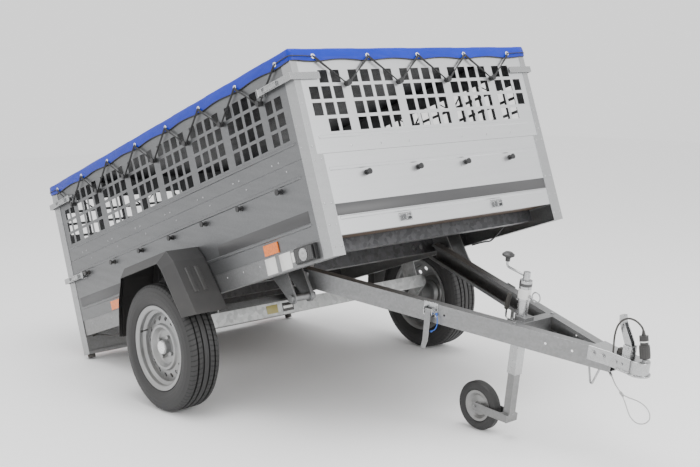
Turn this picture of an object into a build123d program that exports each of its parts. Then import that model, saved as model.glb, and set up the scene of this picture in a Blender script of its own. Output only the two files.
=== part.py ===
"""Small tipping box trailer with mesh sides, a tarpaulin cover and a hinged V drawbar.

Millimetres.  The box is drawn level: X forward from the axle, Y left, Z up from the ground.
The drawbar is drawn about its hinge: X along the arms, Z square to them.  Both are then laid
in the parked pose, box tipped back on its rear feet and drawbar pitched down to the coupling.
"""
import os
from math import atan2, cos, hypot, radians, sin, tan

from build123d import *

# ---- driving dimensions -------------------------------------------------------------------
box_length = 2120.0
box_width = 1310.0
floor_height = 512.5
wall_height = 307.5          # folded lower wall, floor to seam
mesh_height = 400.0          # punched panel above the seam
skirt_height = 75.5          # side rail below the floor
foot_height = 345.0          # underside of the rear corner posts
sheet = 2.0                  # wall sheet
tyre_radius = 273.5
tyre_width = 157.0
rim_radius = 165.0           # bead seat of a 13 inch rim
wheel_plane = 770.0          # wheel centre from the centre line
tip_angle = 17.93            # box tipped back in the parked pose
drawbar_pitch = 9.01         # drawbar pitched down in the parked pose
hinge_x = 570.0              # drawbar hinge in the level box
hinge_z = 342.0
arm_top = 93.0               # top of the arms above the hinge
arm_height = 76.0
arm_width = 40.0
arm_tail = 112.0             # arms reach this far behind the hinge
arm_nose = 1194.0            # and this far in front
arm_half_spread = 384.4      # outer face of an arm from the centre line, level with the hinge
arm_splay = 17.02            # each arm against the centre line, degrees
jockey_x = 794.0             # jockey post along the drawbar
jockey_y = -45.0
jockey_wheel_radius = 98.5
fit_gap = 0.05               # radial clearance of a running fit
seat_gap = 0.3               # soft parts and trims stand this far off

half_l = box_length / 2
half_w = box_width / 2
seam = floor_height + wall_height
mesh_top = seam + 2 + mesh_height
skirt_bottom = floor_height - skirt_height
axle_height = tyre_radius
sides = ((-1, "right"), (1, "left"))
pieces = {}


def across(y):
    """Plane facing -Y: sketch axes are X forward and Z up."""
    return Plane(origin=(0, y, 0), x_dir=(1, 0, 0), z_dir=(0, -1, 0))


def facing(x):
    """Plane facing +X: sketch axes are Y left and Z up."""
    return Plane(origin=(x, 0, 0), x_dir=(0, 1, 0), z_dir=(1, 0, 0))


def level(z):
    return Plane(origin=(0, 0, z))


tipped = (
    Location((0, 0, axle_height)) * Location((0, 0, 0), (0, -tip_angle, 0))
    * Location((0, 0, -axle_height))
)
hinge_level = Location((hinge_x, 0, hinge_z))
hinge_ground = (tipped * hinge_level).position
drawn_down = Location(hinge_ground) * Location((0, 0, 0), (0, drawbar_pitch, 0))


def finish(builder, label, pose):
    """Lay a finished sub-part in its parked pose and name it."""
    placed = builder.part.moved(pose)
    placed.label = label
    pieces[label] = placed


def block(x0, x1, y0, y1, z0, z1, mode=Mode.ADD):
    """Rectangular block between two corners."""
    with Locations(((x0 + x1) / 2, (y0 + y1) / 2, (z0 + z1) / 2)):
        Box(abs(x1 - x0), abs(y1 - y0), abs(z1 - z0), mode=mode)


def rod(start, end, radius, mode=Mode.ADD):
    """Round bar from one point to another."""
    axis = Vector(end) - Vector(start)
    with BuildSketch(Plane(origin=start, z_dir=axis)) as section:
        Circle(radius)
    extrude(section.sketch, amount=axis.length, mode=mode)


def bent_rod(points, radius, bend):
    """Round bar along straight runs with one bend radius."""
    with BuildLine() as route:
        FilletPolyline(*points, radius=bend)
    with BuildSketch(Plane(origin=route.line @ 0, z_dir=route.line % 0)) as section:
        Circle(radius)
    sweep(section.sketch, path=route.line)


def cord_radii(points):
    """Arc at each corner: 0.45 of the shorter run over the tangent of half the turn."""
    radii = []
    for before, here, after in zip(points, points[1:], points[2:]):
        run_in = Vector(here) - Vector(before)
        run_out = Vector(after) - Vector(here)
        turn = radians(run_in.get_angle(run_out))
        radii.append(0.45 * min(run_in.length, run_out.length) / tan(turn / 2))
    return radii


def cord_tube(name, points, diameter):
    """Plain tube of a cord along runs and tangent arcs; prints how it came out."""
    radii = cord_radii(points)
    with BuildLine() as route:
        FilletPolyline(*points, radius=radii)
    with BuildSketch(Plane(origin=route.line @ 0, z_dir=route.line % 0)) as section:
        Circle(diameter / 2)
    path = route.wires()[0]
    sweep(section.sketch, path=path)
    print(name, "radii", [round(r, 1) for r in radii], "length", round(path.length, 1),
          "section x length", round(section.sketch.area * path.length, 1))


# ---- floor and frame ----------------------------------------------------------------------
floor_thickness = 9.0
rail_sheet = 2.5
rail_flange = 45.0
beam_depth = 60.0
beam_wall = 3.0
main_beam_x = 440.0
rail_start = -half_l + 2 * sheet + 2
beam_bottom = skirt_bottom + 3.0

with BuildPart() as floor_panel:
    inner = half_w - 2 * sheet - 4
    block(-half_l + 20, half_l - 20, -inner, inner, floor_height, floor_height + floor_thickness)
finish(floor_panel, "floor_panel", tipped)

with BuildPart() as side_rails:
    for side, hand in sides:
        with BuildSketch(facing(rail_start)):
            with BuildLine():
                Polyline(
                    (side * (half_w - 2 * sheet - rail_flange), floor_height),
                    (side * (half_w - 2 * sheet), floor_height),
                    (side * (half_w - 2 * sheet), skirt_bottom),
                    (side * (half_w - 2 * sheet - rail_flange), skirt_bottom),
                    (side * (half_w - 2 * sheet - rail_flange), skirt_bottom + rail_sheet),
                    (side * (half_w - 2 * sheet - rail_sheet), skirt_bottom + rail_sheet),
                    (side * (half_w - 2 * sheet - rail_sheet), floor_height - rail_sheet),
                    (side * (half_w - 2 * sheet - rail_flange), floor_height - rail_sheet),
                    close=True,
                )
            make_face()
        extrude(amount=half_l - sheet - rail_start)
finish(side_rails, "side_rails", tipped)

with BuildPart() as cross_beams:
    beam_half = half_w - 2 * sheet - rail_sheet - 0.5
    for beam_x in (-930.0, -480.0, main_beam_x, 900.0):
        main = beam_x == main_beam_x
        low = beam_bottom if main else floor_height - 50
        high = floor_height - rail_sheet - 0.5 if main else floor_height - 0.2
        reach = beam_half if main else beam_half - rail_flange
        block(beam_x - beam_depth / 2, beam_x + beam_depth / 2, -reach, reach, low, high)
        block(beam_x - beam_depth / 2, beam_x + beam_depth / 2 - beam_wall, -reach, reach,
              low + beam_wall, high - beam_wall, mode=Mode.SUBTRACT)
    with BuildSketch(facing(main_beam_x)):
        with Locations((-300, 470), (-345, 470), (300, 470), (345, 470)):
            Circle(11)
    extrude(amount=beam_depth, mode=Mode.SUBTRACT)
finish(cross_beams, "cross_beams", tipped)

# ---- lower walls --------------------------------------------------------------------------
fold = 22.0                  # inward return at the top and bottom edges
bead_height = 3.5
post_front = 58.0            # front leg of a corner post
post_side = 58.0             # side leg
upper_front = 30.0           # front leg above the seam
wall_face = half_w - sheet   # outer face of the side walls
front_face = half_l - sheet  # outer face of the front wall


def bead(plane, height, reach, proud, tall=14.0):
    """Pressed stiffening bead along a wall, proud of its outer face."""
    with BuildSketch(plane) as strip:
        with Locations((0, height)):
            Rectangle(2 * reach, tall)
    extrude(strip.sketch, amount=proud, taper=38)


def side_wall(side):
    outward = Plane(origin=(0, side * wall_face, 0), x_dir=(-side, 0, 0), z_dir=(0, side, 0))
    with BuildPart() as wall:
        y_out, y_in = side * wall_face, side * (wall_face - sheet)
        block(-front_face, front_face, y_out, y_in, floor_height, seam - 1)
        block(-front_face + fold, front_face - fold, y_in, side * (wall_face - fold),
              seam - 1 - sheet, seam - 1)
        bead(outward, seam - 64, half_l - 90, bead_height)
        bead(outward, floor_height + 62, half_l - 90, bead_height)
    return wall


for side, hand in sides:
    finish(side_wall(side), "side_wall_" + hand, tipped)

with BuildPart() as front_wall:
    reach = wall_face - sheet
    block(front_face - sheet, front_face, -reach, reach, floor_height, seam - 1)
    block(front_face - fold, front_face - sheet, -reach + fold, reach - fold,
          seam - 1 - sheet, seam - 1)
    edge = half_w - 2 * sheet - rail_flange - 1
    block(front_face - fold, front_face, -edge, edge, floor_height - sheet, floor_height)
    for height in (seam - 60, floor_height + 61):
        bead(facing(front_face), height, half_w - post_front - 12, bead_height)
finish(front_wall, "front_wall", tipped)

# ---- corner posts: folded angles, the lower one wider than the upper ----------------------
with BuildPart() as corner_posts:
    for side, hand in sides:
        for end in (-1, 1):
            low = skirt_bottom if end > 0 else foot_height
            for z0, z1, leg in ((low, seam - 1, post_front), (seam - 1, mesh_top - 24, upper_front)):
                block(end * half_l, end * front_face, side * half_w, side * (half_w - leg), z0, z1)
                block(end * half_l, end * (half_l - post_side), side * half_w, side * wall_face,
                      z0, z1)
finish(corner_posts, "corner_posts", tipped)

# ---- punched mesh panels ------------------------------------------------------------------
hole_w = 45.0
hole_h = 50.0
pitch_x = 61.0
pitch_z = 63.0
rows = 4
group_pitch = 278.0          # four columns and one wide bar
first_row = seam + 81
wide_bars = [group_pitch * n for n in range(-3, 4)]


def hole_grid(plane, column_centres, skip):
    """Rectangular holes in rows; skip(column, row) leaves sheet standing."""
    with BuildSketch(plane) as holes:
        for row in range(rows):
            height = first_row + hole_h / 2 + row * pitch_z
            spots = [(c, height) for c in column_centres if not skip(c, row)]
            with Locations(*spots):
                Rectangle(hole_w, hole_h)
    extrude(holes.sketch, amount=-4 * sheet, mode=Mode.SUBTRACT)


def four_columns(centre):
    return [centre + pitch_x * (n - 1.5) for n in range(4)]


side_columns = [c for n in range(-3, 3) for c in four_columns(group_pitch * (n + 0.5))]
end_columns = [half_l - 60 - hole_w / 2 - pitch_x * n for n in (0.72, 1.72)]
side_columns += end_columns + [-c for c in end_columns]
end_group_pitch = 272.0
front_columns = [c for n in (-1, 0, 1) for c in four_columns(end_group_pitch * n)]
outer_columns = [408.0 + 22.0 + hole_w / 2 + pitch_x * n * 0.97 for n in range(3)]
front_columns += outer_columns + [-c for c in outer_columns]
outermost = max(outer_columns)


def mesh_side(side):
    outward = Plane(origin=(0, side * wall_face, 0), x_dir=(-side, 0, 0), z_dir=(0, side, 0))
    y_out, y_in = side * wall_face, side * (wall_face - sheet)
    with BuildPart() as panel:
        block(-front_face, front_face, y_out, y_in, seam, mesh_top)
        block(-front_face + fold, front_face - fold, y_in, side * (wall_face - fold),
              mesh_top - sheet, mesh_top)
        block(-front_face + fold, front_face - fold, y_in, side * (wall_face - fold),
              seam, seam + sheet)
        bead(outward, seam + 63, half_l - 78, bead_height)
        hole_grid(outward, side_columns,
                  lambda c, row: row == rows - 1 and abs(c) > half_l - 200)
    return panel


for side, hand in sides:
    finish(mesh_side(side), "mesh_side_" + hand, tipped)


def mesh_end(end):
    outward = Plane(origin=(end * front_face, 0, 0), x_dir=(0, end, 0), z_dir=(end, 0, 0))
    reach = wall_face - sheet
    x_out, x_in = end * front_face, end * (front_face - sheet)
    with BuildPart() as panel:
        block(x_out, x_in, -reach, reach, seam, mesh_top)
        for z in (seam, mesh_top - sheet):
            block(x_in, end * (front_face - fold), -reach + fold, reach - fold, z, z + sheet)
        bead(outward, seam + 63, half_w - upper_front - 24, bead_height)
        hole_grid(outward, front_columns,
                  lambda c, row: row in (0, rows - 1) and abs(c) > outermost - 1)
    return panel


finish(mesh_end(1), "mesh_front", tipped)
finish(mesh_end(-1), "mesh_rear", tipped)

# ---- tarpaulin: flat top and a hem all round, open below ----------------------------------
tarp_thickness = 1.5
hem_depth = 50.0
tarp_stand = 3.0             # hem stands off the panels
with BuildPart() as tarpaulin:
    out_x, out_y = half_l + tarp_stand + tarp_thickness, half_w + tarp_stand + tarp_thickness
    low, high = mesh_top + seat_gap + tarp_thickness - hem_depth, mesh_top + seat_gap + tarp_thickness
    block(-out_x, out_x, -out_y, out_y, low, high)
    block(-out_x + tarp_thickness, out_x - tarp_thickness,
          -out_y + tarp_thickness, out_y - tarp_thickness, low, high - tarp_thickness,
          mode=Mode.SUBTRACT)
finish(tarpaulin, "tarpaulin", tipped)

# ---- rope hooks: a stem and a mushroom head -----------------------------------------------
hook_stem = 13.0
hook_reach = 24.0
upper_hook_z = mesh_top - 139.0
lower_hook_z = seam - 87.0
end_hooks = [-3 * 136.0, -136.0, 136.0, 3 * 136.0]


def hook(foot, outward):
    """Turned black hook: collar, stem and a dished head."""
    out = Vector(outward)
    base = Vector(foot)
    head = base + out * (hook_reach - 6)
    rod(base, base + out * 5, 11)
    rod(base, head, hook_stem / 2)
    rod(head, head + out * 6, 11.5)


with BuildPart() as rope_hooks:
    for side, hand in sides:
        for x in wide_bars:
            for z in (lower_hook_z, upper_hook_z):
                hook((x, side * wall_face, z), (0, side, 0))
    for y in end_hooks:
        for z in (lower_hook_z, upper_hook_z):
            hook((front_face, y, z), (1, 0, 0))
        hook((-front_face, y, upper_hook_z), (-1, 0, 0))
finish(rope_hooks, "rope_hooks", tipped)

# ---- shock cord: laced between eyelets in the hem and the upper hooks ----------------------
cord_radius = 3.0
lace_out = out_y + cord_radius + 1.0
lace_x = out_x + cord_radius + 1.0
eyelet_z = low + 17.0
side_eyelets = [group_pitch * (n + 0.5) for n in range(-4, 4)]
end_reach = half_w - 110.0   # outermost eyelet across the ends
end_eyelets = [-end_reach, 0.5 - end_reach / 2, 0.0, end_reach / 2 - 0.5, end_reach]
hook_line = 17.5             # the cord lies on the stem this far out from the wall


def laced(path):
    """One length of tight cord; its arcs are as large as the hook stems and eyelets it rounds."""
    with BuildLine() as route:
        FilletPolyline(*path, radius=cord_bend)
    with BuildSketch(Plane(origin=route.line @ 0, z_dir=route.line % 0)) as section:
        Circle(cord_radius)
    sweep(section.sketch, path=route.line)


cord_bend = 3.5
under = upper_hook_z - hook_stem / 2 - cord_radius - 0.2
with BuildPart() as shock_cord:
    for side, hand in sides:
        stem_y = side * (wall_face + hook_line - 3)
        path = [(side_eyelets[0], side * lace_out, eyelet_z)]
        for n, hook_x in enumerate(wide_bars):
            path += [(hook_x - 5, stem_y, under), (hook_x + 5, stem_y, under)]
            path += [(side_eyelets[n + 1] - 5, side * lace_out, eyelet_z)]
            path += [(side_eyelets[n + 1] + 5, side * lace_out, eyelet_z)]
        laced(path[:-1])
    for end in (-1, 1):
        stem_x = end * (front_face + hook_line - 3)
        path = [(end * lace_x, end_eyelets[0], eyelet_z)]
        for n, hook_y in enumerate(end_hooks):
            path += [(stem_x, hook_y - 5, under), (stem_x, hook_y + 5, under)]
            path += [(end * lace_x, end_eyelets[n + 1] - 5, eyelet_z)]
            path += [(end * lace_x, end_eyelets[n + 1] + 5, eyelet_z)]
        laced(path[:-1])
        for side, hand in sides:
            laced([(end * (side_eyelets[-1] + 12), side * lace_out, eyelet_z),
                   (end * (lace_x - 2.2), side * lace_out, eyelet_z + 6),
                   (end * lace_x, side * (lace_out - 2.2), eyelet_z + 6),
                   (end * lace_x, side * (end_eyelets[-1] + 12), eyelet_z)])
finish(shock_cord, "shock_cord", tipped)

# ---- tailgate, hinged along its lower edge -------------------------------------------------
gate_gap = 3.0
gate_half = half_w - post_front - gate_gap
gate_bottom = floor_height + 14.0
gate_top = seam - gate_gap
gate_hinge_z = gate_bottom - 8.0
gate_hinge_x = -half_l - 9.0
knuckle_radius = 7.0
pin_radius = 4.0
gate_hinges = (-400.0, 0.0, 400.0)
knuckle = 34.0

with BuildPart() as tailgate:
    outward = Plane(origin=(-half_l, 0, 0), x_dir=(0, -1, 0), z_dir=(-1, 0, 0))
    block(-half_l, -half_l + sheet, -gate_half, gate_half, gate_bottom, gate_top)
    block(-half_l + sheet, -half_l + fold, -gate_half + 4, gate_half - 4, gate_top - sheet, gate_top)
    for height in (gate_top - 58, gate_bottom + 48):
        bead(outward, height, gate_half - 14, bead_height)
    for y in gate_hinges:
        block(-half_l - 4, -half_l, y - knuckle * 1.5, y + knuckle * 1.5,
              gate_bottom + 2, gate_bottom + 34)
        for shift in (-1, 1):
            rod((gate_hinge_x, y + shift * knuckle - knuckle / 2 + 0.4, gate_hinge_z),
                (gate_hinge_x, y + shift * knuckle + knuckle / 2, gate_hinge_z), knuckle_radius)
            y0, y1 = y + shift * knuckle - knuckle / 2 + 0.4, y + shift * knuckle + knuckle / 2
            block(gate_hinge_x - 2, -half_l, y0, y1, gate_hinge_z + 2, gate_bottom + 6)
            rod((gate_hinge_x, y0 - 1, gate_hinge_z), (gate_hinge_x, y1 + 1, gate_hinge_z),
                pin_radius + fit_gap, mode=Mode.SUBTRACT)
finish(tailgate, "tailgate", tipped)

# ---- rear light beam between the rear posts, with rubber feet ------------------------------
beam_face = -half_l + sheet + 1
with BuildPart() as rear_light_beam:
    reach = wall_face - sheet - 1
    block(beam_face, beam_face + sheet, -reach, reach, foot_height, floor_height - 1)
    block(beam_face + sheet, beam_face + 42, -reach, reach, foot_height, foot_height + sheet)
    block(beam_face + 42 - sheet, beam_face + 42, -reach, reach, foot_height, foot_height + 16)
    for y in gate_hinges:
        block(-half_l - 4, beam_face, y - knuckle * 0.5, y + knuckle * 0.5,
              floor_height - 36, floor_height - 2)
        rod((gate_hinge_x, y - knuckle / 2 + 0.2, gate_hinge_z),
            (gate_hinge_x, y + knuckle / 2 - 0.2, gate_hinge_z), knuckle_radius)
        block(gate_hinge_x - 2, -half_l, y - knuckle / 2 + 0.2, y + knuckle / 2 - 0.2,
              floor_height - 20, gate_hinge_z - 2)
        rod((gate_hinge_x, y - knuckle * 1.5, gate_hinge_z),
            (gate_hinge_x, y + knuckle * 1.5, gate_hinge_z), pin_radius)
finish(rear_light_beam, "rear_light_beam", tipped)

# The rubber feet carry the tipped box: their lowest edge lies on the ground.
foot_x = -half_l + 24
foot_y = half_w - 28
foot_radius = 19.0
tip = radians(tip_angle)
foot_bottom = axle_height - (axle_height + (foot_x - foot_radius) * sin(tip)) / cos(tip)
foot_top = foot_height
with BuildPart() as rear_feet:
    for side, hand in sides:
        with BuildSketch(level(foot_bottom)):
            with Locations((foot_x, side * foot_y)):
                Circle(foot_radius)
        extrude(amount=foot_top - foot_bottom)
finish(rear_feet, "rear_feet", tipped)
# ---- axle: square tube, rubber sprung swing arms, stub spindles ----------------------------
beam_x = 90.0
beam_z = 335.0
beam_size = 60.0
beam_reach = 640.0
arm_shaft = 20.0
spindle = 15.0
swing_face = 643.0           # inner face of a swing arm
swing_thick = 16.0
bracket_y = 588.0

with BuildPart() as axle:
    half = beam_size / 2
    block(beam_x - half, beam_x + half, -beam_reach, beam_reach, beam_z - half, beam_z + half)
    block(beam_x - half + 5, beam_x + half - 5, -beam_reach + 90, beam_reach - 90,
          beam_z - half + 5, beam_z + half - 5, mode=Mode.SUBTRACT)
    for side, hand in sides:
        rod((beam_x, side * (beam_reach - 91), beam_z), (beam_x, side * (beam_reach + 1), beam_z),
            arm_shaft + fit_gap, mode=Mode.SUBTRACT)
        block(beam_x - 45, beam_x + 45, side * bracket_y, side * (bracket_y + 5),
              beam_z + half, skirt_bottom)
        block(beam_x - 45, beam_x + 45, side * bracket_y, side * (bracket_y + 50),
              skirt_bottom - 4, skirt_bottom)
finish(axle, "axle", tipped)


def swing_arm(side):
    with BuildPart() as arm:
        outward = Plane(origin=(0, side * swing_face, 0), x_dir=(-side, 0, 0), z_dir=(0, side, 0))
        with BuildSketch(outward) as web:
            with Locations((-side * beam_x, beam_z)):
                Circle(30)
            with Locations((0, axle_height)):
                Circle(26)
            make_hull()
        extrude(web.sketch, amount=swing_thick)
        rod((beam_x, side * (beam_reach - 86), beam_z), (beam_x, side * (swing_face + 1), beam_z),
            arm_shaft)
        rod((0, side * swing_face, axle_height), (0, side * (wheel_plane + 8), axle_height), spindle)
    return arm


for side, hand in sides:
    finish(swing_arm(side), "swing_arm_" + hand, tipped)

# ---- road wheels: pressed disc rim on a hub, tubeless tyre ---------------------------------
flange_radius = 182.0
rim_half = 67.0
seat_half = 58.0
vent_holes = 16
vent_circle = 124.0
bolt_circle = 50.0
bolts = 4


def turned(side, points):
    """Solid of revolution about the wheel axis from (offset from the wheel plane, radius)."""
    plane = Plane(origin=(0, side * wheel_plane, axle_height), x_dir=(0, side, 0),
                  z_dir=(-side, 0, 0))
    with BuildSketch(plane) as profile:
        with BuildLine():
            Polyline(*points, close=True)
        make_face()
    axis = Axis((0, side * wheel_plane, axle_height), (0, 1, 0))
    revolve(profile.sketch, axis=axis)


def rim(side):
    outer = [(rim_half, flange_radius), (rim_half - 4, flange_radius), (60, rim_radius + 3),
             (seat_half, rim_radius), (42, rim_radius), (34, 151), (-22, 151), (-38, rim_radius),
             (-seat_half, rim_radius), (-60, rim_radius + 3), (4 - rim_half, flange_radius),
             (-rim_half, flange_radius)]
    inner = [(-rim_half, 178), (-64, 166), (-60, 161.5), (-40, 161.5), (-24, 147.5),
             (36, 147.5), (44, 161.5), (60, 161.5), (64, 166), (rim_half, 178)]
    wheel_x = Plane(origin=(0, side * wheel_plane, axle_height), x_dir=(1, 0, 0), z_dir=(0, side, 0))
    with BuildPart() as wheel:
        turned(side, outer + inner)
        disc = [(20, 149), (30, 118), (33, 102), (43, 96), (43, 86), (26, 74), (22, 68), (22, 31),
                (18, 31), (18, 70), (22, 76), (39, 88), (39, 93), (29, 100), (26, 117), (14, 149)]
        turned(side, disc)
        with BuildSketch(wheel_x) as vents:
            with PolarLocations(vent_circle, vent_holes):
                Circle(10)
        extrude(vents.sketch, amount=60, mode=Mode.SUBTRACT)
        hub_profile = [(-84, spindle + fit_gap), (-84, 44), (-20, 44), (-6, 50), (6, 66),
                       (18, 66), (18, 30.5), (44, 30.5), (50, 24), (50, 10), (10, 10),
                       (10, spindle + fit_gap)]
        turned(side, hub_profile)
        with BuildSketch(wheel_x.offset(22)) as nuts:
            with PolarLocations(bolt_circle, bolts, start_angle=45):
                RegularPolygon(9.5, 6)
        extrude(nuts.sketch, amount=14)
    return wheel


def tyre(side):
    shell = [(57, rim_radius + 0.2), (59.3, 168.6), (62.6, 182.4), (70, 190), (77, 208),
             (78.5, 222), (76.5, 240), (70, 258), (62, 268.5), (54, 271.5)]
    grooves = []
    for centre in (40.0, 14.0):
        grooves += [(centre + 4, 272.6), (centre + 3, 265), (centre - 3, 265), (centre - 4, 273)]
    cavity = [(0, 262), (48, 260), (58, 254), (67, 238), (69.5, 222), (67, 205), (58, 190),
              (51, 172), (49, rim_radius + 0.2)]
    right_half = shell + grooves + [(0, tyre_radius)]
    left_half = [(-x, r) for x, r in reversed(shell + grooves)]
    inner_left = [(-x, r) for x, r in reversed(cavity)]
    with BuildPart() as cover:
        turned(side, right_half + left_half + inner_left + cavity[1:])
    return cover


for side, hand in sides:
    finish(rim(side), "rim_" + hand, tipped)
    finish(tyre(side), "tyre_" + hand, tipped)

# ---- fenders: a faceted arch shell, open below and outside ---------------------------------
fender_out = 852.0
fender_in = wall_face + bead_height + seat_gap
fender_wall = 3.0
fender_chamfer = 42.0
fender_low = 366.0
arch = [(-330, 366), (-262, 536), (-213, 610), (-190, 652), (183, 655), (222, 602), (312, 368)]
arch_opening = [(-276, 350), (-218, 525), (-172, 588), (-158, 606), (148, 608), (178, 572),
                (256, 350)]


def crossing(one, two):
    """Where two lines, each a point and a direction, cross."""
    (x0, z0, dx0, dz0), (x1, z1, dx1, dz1) = one, two
    along = ((x1 - x0) * dz1 - (z1 - z0) * dx1) / (dx0 * dz1 - dz0 * dx1)
    return x0 + along * dx0, z0 + along * dz0


def arch_outline(side, inset, low):
    """Arch outline drawn in by inset, its feet cut level."""
    lines = [(0, low, 1, 0)]
    for (x0, z0), (x1, z1) in zip(arch, arch[1:]):
        run = hypot(x1 - x0, z1 - z0)
        lines.append((x0 + inset * (z1 - z0) / run, z0 - inset * (x1 - x0) / run, x1 - x0, z1 - z0))
    corners = [crossing(one, two) for one, two in zip(lines, lines[1:] + lines[:1])]
    return [(-side * x, z) for x, z in corners]


def arch_solid(side, start, inset, low):
    """The arch from start outward, its outer edge bevelled in."""
    plane = Plane(origin=(0, side * start, 0), x_dir=(-side, 0, 0), z_dir=(0, side, 0))
    straight = fender_out - fender_chamfer - start
    stations = []
    for out, drawn_in in ((0, 0), (straight, 0), (straight + fender_chamfer, fender_chamfer)):
        with BuildSketch(plane.offset(out)) as station:
            with BuildLine():
                Polyline(*arch_outline(side, inset + drawn_in, low), close=True)
            make_face()
        stations.append(station.sketch.face())
    with BuildPart() as solid:
        extrude(stations[0], amount=straight)
        loft(stations[1:], ruled=True)
    return solid.part


def fender(side):
    outward = Plane(origin=(0, side * fender_in, 0), x_dir=(-side, 0, 0), z_dir=(0, side, 0))
    with BuildPart() as shell:
        add(arch_solid(side, fender_in, 0, fender_low))
        add(arch_solid(side, fender_in + fender_wall, fender_wall, fender_low - 5), mode=Mode.SUBTRACT)
        with BuildSketch(outward) as opening:
            with BuildLine():
                Polyline(*[(-side * x, z) for x, z in arch_opening], close=True)
            make_face()
        extrude(opening.sketch, amount=2 * fender_wall, mode=Mode.SUBTRACT)
    return shell


for side, hand in sides:
    finish(fender(side), "fender_" + hand, tipped)

# ---- lamps and reflectors ------------------------------------------------------------------
rail_face = half_w - 2 * sheet
lamp_x = 850.0
lamp_length = 125.0
lamp_z = 446.0
lamp_height = 62.0
rear_lamp_half = 95.0
rear_lamp_y = 500.0
reflector_length = 96.0
reflector_height = 42.0

with BuildPart() as lamp_housings:
    for side, hand in sides:
        block(lamp_x, lamp_x + lamp_length, side * rail_face, side * (rail_face + 16),
              lamp_z, lamp_z + lamp_height)
        block(beam_face - 14, beam_face, side * (rear_lamp_y - rear_lamp_half),
              side * (rear_lamp_y + rear_lamp_half), 372, 462)
finish(lamp_housings, "lamp_housings", tipped)

with BuildPart() as lamp_lenses:
    for side, hand in sides:
        block(lamp_x + 5, lamp_x + lamp_length - 5, side * (rail_face + 16),
              side * (rail_face + 26), lamp_z + 5, lamp_z + lamp_height - 5)
        block(beam_face - 34, beam_face - 14, side * (rear_lamp_y - rear_lamp_half + 4),
              side * (rear_lamp_y + rear_lamp_half - 4), 376, 458)
        for x in (648.0, -669.0):
            block(x, x + reflector_length, side * wall_face, side * (wall_face + 6),
                  517, 517 + reflector_height)
    chamfer(lamp_lenses.edges().filter_by(Axis.Z), length=2)
finish(lamp_lenses, "lamp_lenses", tipped)

# ---- drawbar hinge brackets on the main cross beam -----------------------------------------
pin_r = 10.0
inner_cheek = 427.0
outer_cheek = 508.0
cheek = 6.0
main_face = main_beam_x + beam_depth / 2

with BuildPart() as hinge_brackets:
    for side, hand in sides:
        for cheek_y, tip_r in ((inner_cheek, 24.0), (outer_cheek, 24.0)):
            plane = Plane(origin=(0, side * cheek_y, 0), x_dir=(-side, 0, 0), z_dir=(0, side, 0))
            with BuildSketch(plane) as web:
                with Locations((-side * (main_face + 45), 474)):
                    Rectangle(90, 62)
                with Locations((-side * hinge_x, hinge_z)):
                    Circle(tip_r)
                make_hull()
            extrude(web.sketch, amount=cheek)
        rod((hinge_x, side * (inner_cheek + 1), hinge_z), (hinge_x, side * outer_cheek, hinge_z), 15)
        rod((hinge_x, side * 408, hinge_z), (hinge_x, side * (outer_cheek + 20), hinge_z), pin_r)
        rod((hinge_x, side * 403, hinge_z), (hinge_x, side * 410, hinge_z), 15)
        rod((hinge_x, side * (outer_cheek + cheek), hinge_z),
            (hinge_x, side * (outer_cheek + cheek + 12), hinge_z), 16)
finish(hinge_brackets, "hinge_brackets", tipped)

# ---- strikers on the front wall and latch bases on the walls -------------------------------
striker_y = 261.0
striker_z = 546.0
latch_tall = 26.0
upper_reach = 208.0          # latch hinge from the end of the box
gate_reach = 190.0
latch_pin = 2.5
latch_knuckle = 5.5
latch_face = half_w + 16.0   # pin line outside the corner post
upper_latch_z = mesh_top - 104.0
gate_latch_z = lower_hook_z - 3.0
latches = [("front_{}_latch", 1, upper_latch_z, upper_reach, 120.0),
           ("rear_{}_latch", -1, upper_latch_z, upper_reach, 120.0),
           ("gate_{}_latch", -1, gate_latch_z, gate_reach, 50.0)]

with BuildPart() as latch_bases:
    for side, hand in sides:
        for label, end, z, reach, wrap in latches:
            x = end * (half_l - reach)
            block(x - end * 6.5, x + end * 30, side * wall_face, side * (wall_face + 3),
                  z - latch_tall / 2 - 4, z + latch_tall / 2 + 4)
            for z0 in (z - latch_tall / 2 - 3.5, z + latch_tall / 2 + 0.5):
                block(x - latch_knuckle, x + latch_knuckle, side * (wall_face + 3),
                      side * (latch_face + latch_knuckle), z0, z0 + 3)
            rod((x, side * latch_face, z - latch_tall / 2 - 3),
                (x, side * latch_face, z + latch_tall / 2 + 3), latch_pin)
        block(front_face, front_face + 3, side * (striker_y - 32), side * (striker_y + 32),
              striker_z - 16, striker_z + 16)
        for offset_y in (-13, 13):
            block(front_face + 3, front_face + 22, side * striker_y + offset_y - 2,
                  side * striker_y + offset_y + 2, striker_z - 14, striker_z + 8)
        rod((front_face + 15, side * striker_y - 15, striker_z),
            (front_face + 15, side * striker_y + 15, striker_z), 4)
finish(latch_bases, "latch_bases", tipped)


def latch(side, end, z, reach, wrap):
    """Toggle hasp: knuckle on the pin, strap along the wall, hook round the corner."""
    x = end * (half_l - reach)
    strap_y = latch_face + 1.0
    corner_x = end * (half_l + 8)
    z0, z1 = z - latch_tall / 2, z + latch_tall / 2
    with BuildPart() as lever:
        rod((x, side * latch_face, z0), (x, side * latch_face, z1), latch_knuckle)
        block(x, corner_x, side * strap_y, side * (strap_y + 3), z0, z1)
        block(corner_x - end * 3, corner_x, side * (strap_y + 3), side * (half_w - wrap), z0, z1)
        block(x + end * 34, x + end * 128, side * (strap_y + 3), side * (strap_y + 12),
              z0 + 3, z1 - 3)
        block(x + end * 37, x + end * 125, side * (strap_y + 6), side * (strap_y + 13),
              z0 + 6, z1 - 6, mode=Mode.SUBTRACT)
        rod((x, side * latch_face, z0 - 1), (x, side * latch_face, z1 + 1),
            latch_pin + fit_gap, mode=Mode.SUBTRACT)
    return lever


for side, hand in sides:
    for label, end, z, reach, wrap in latches:
        finish(latch(side, end, z, reach, wrap), label.format(hand), tipped)

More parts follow.
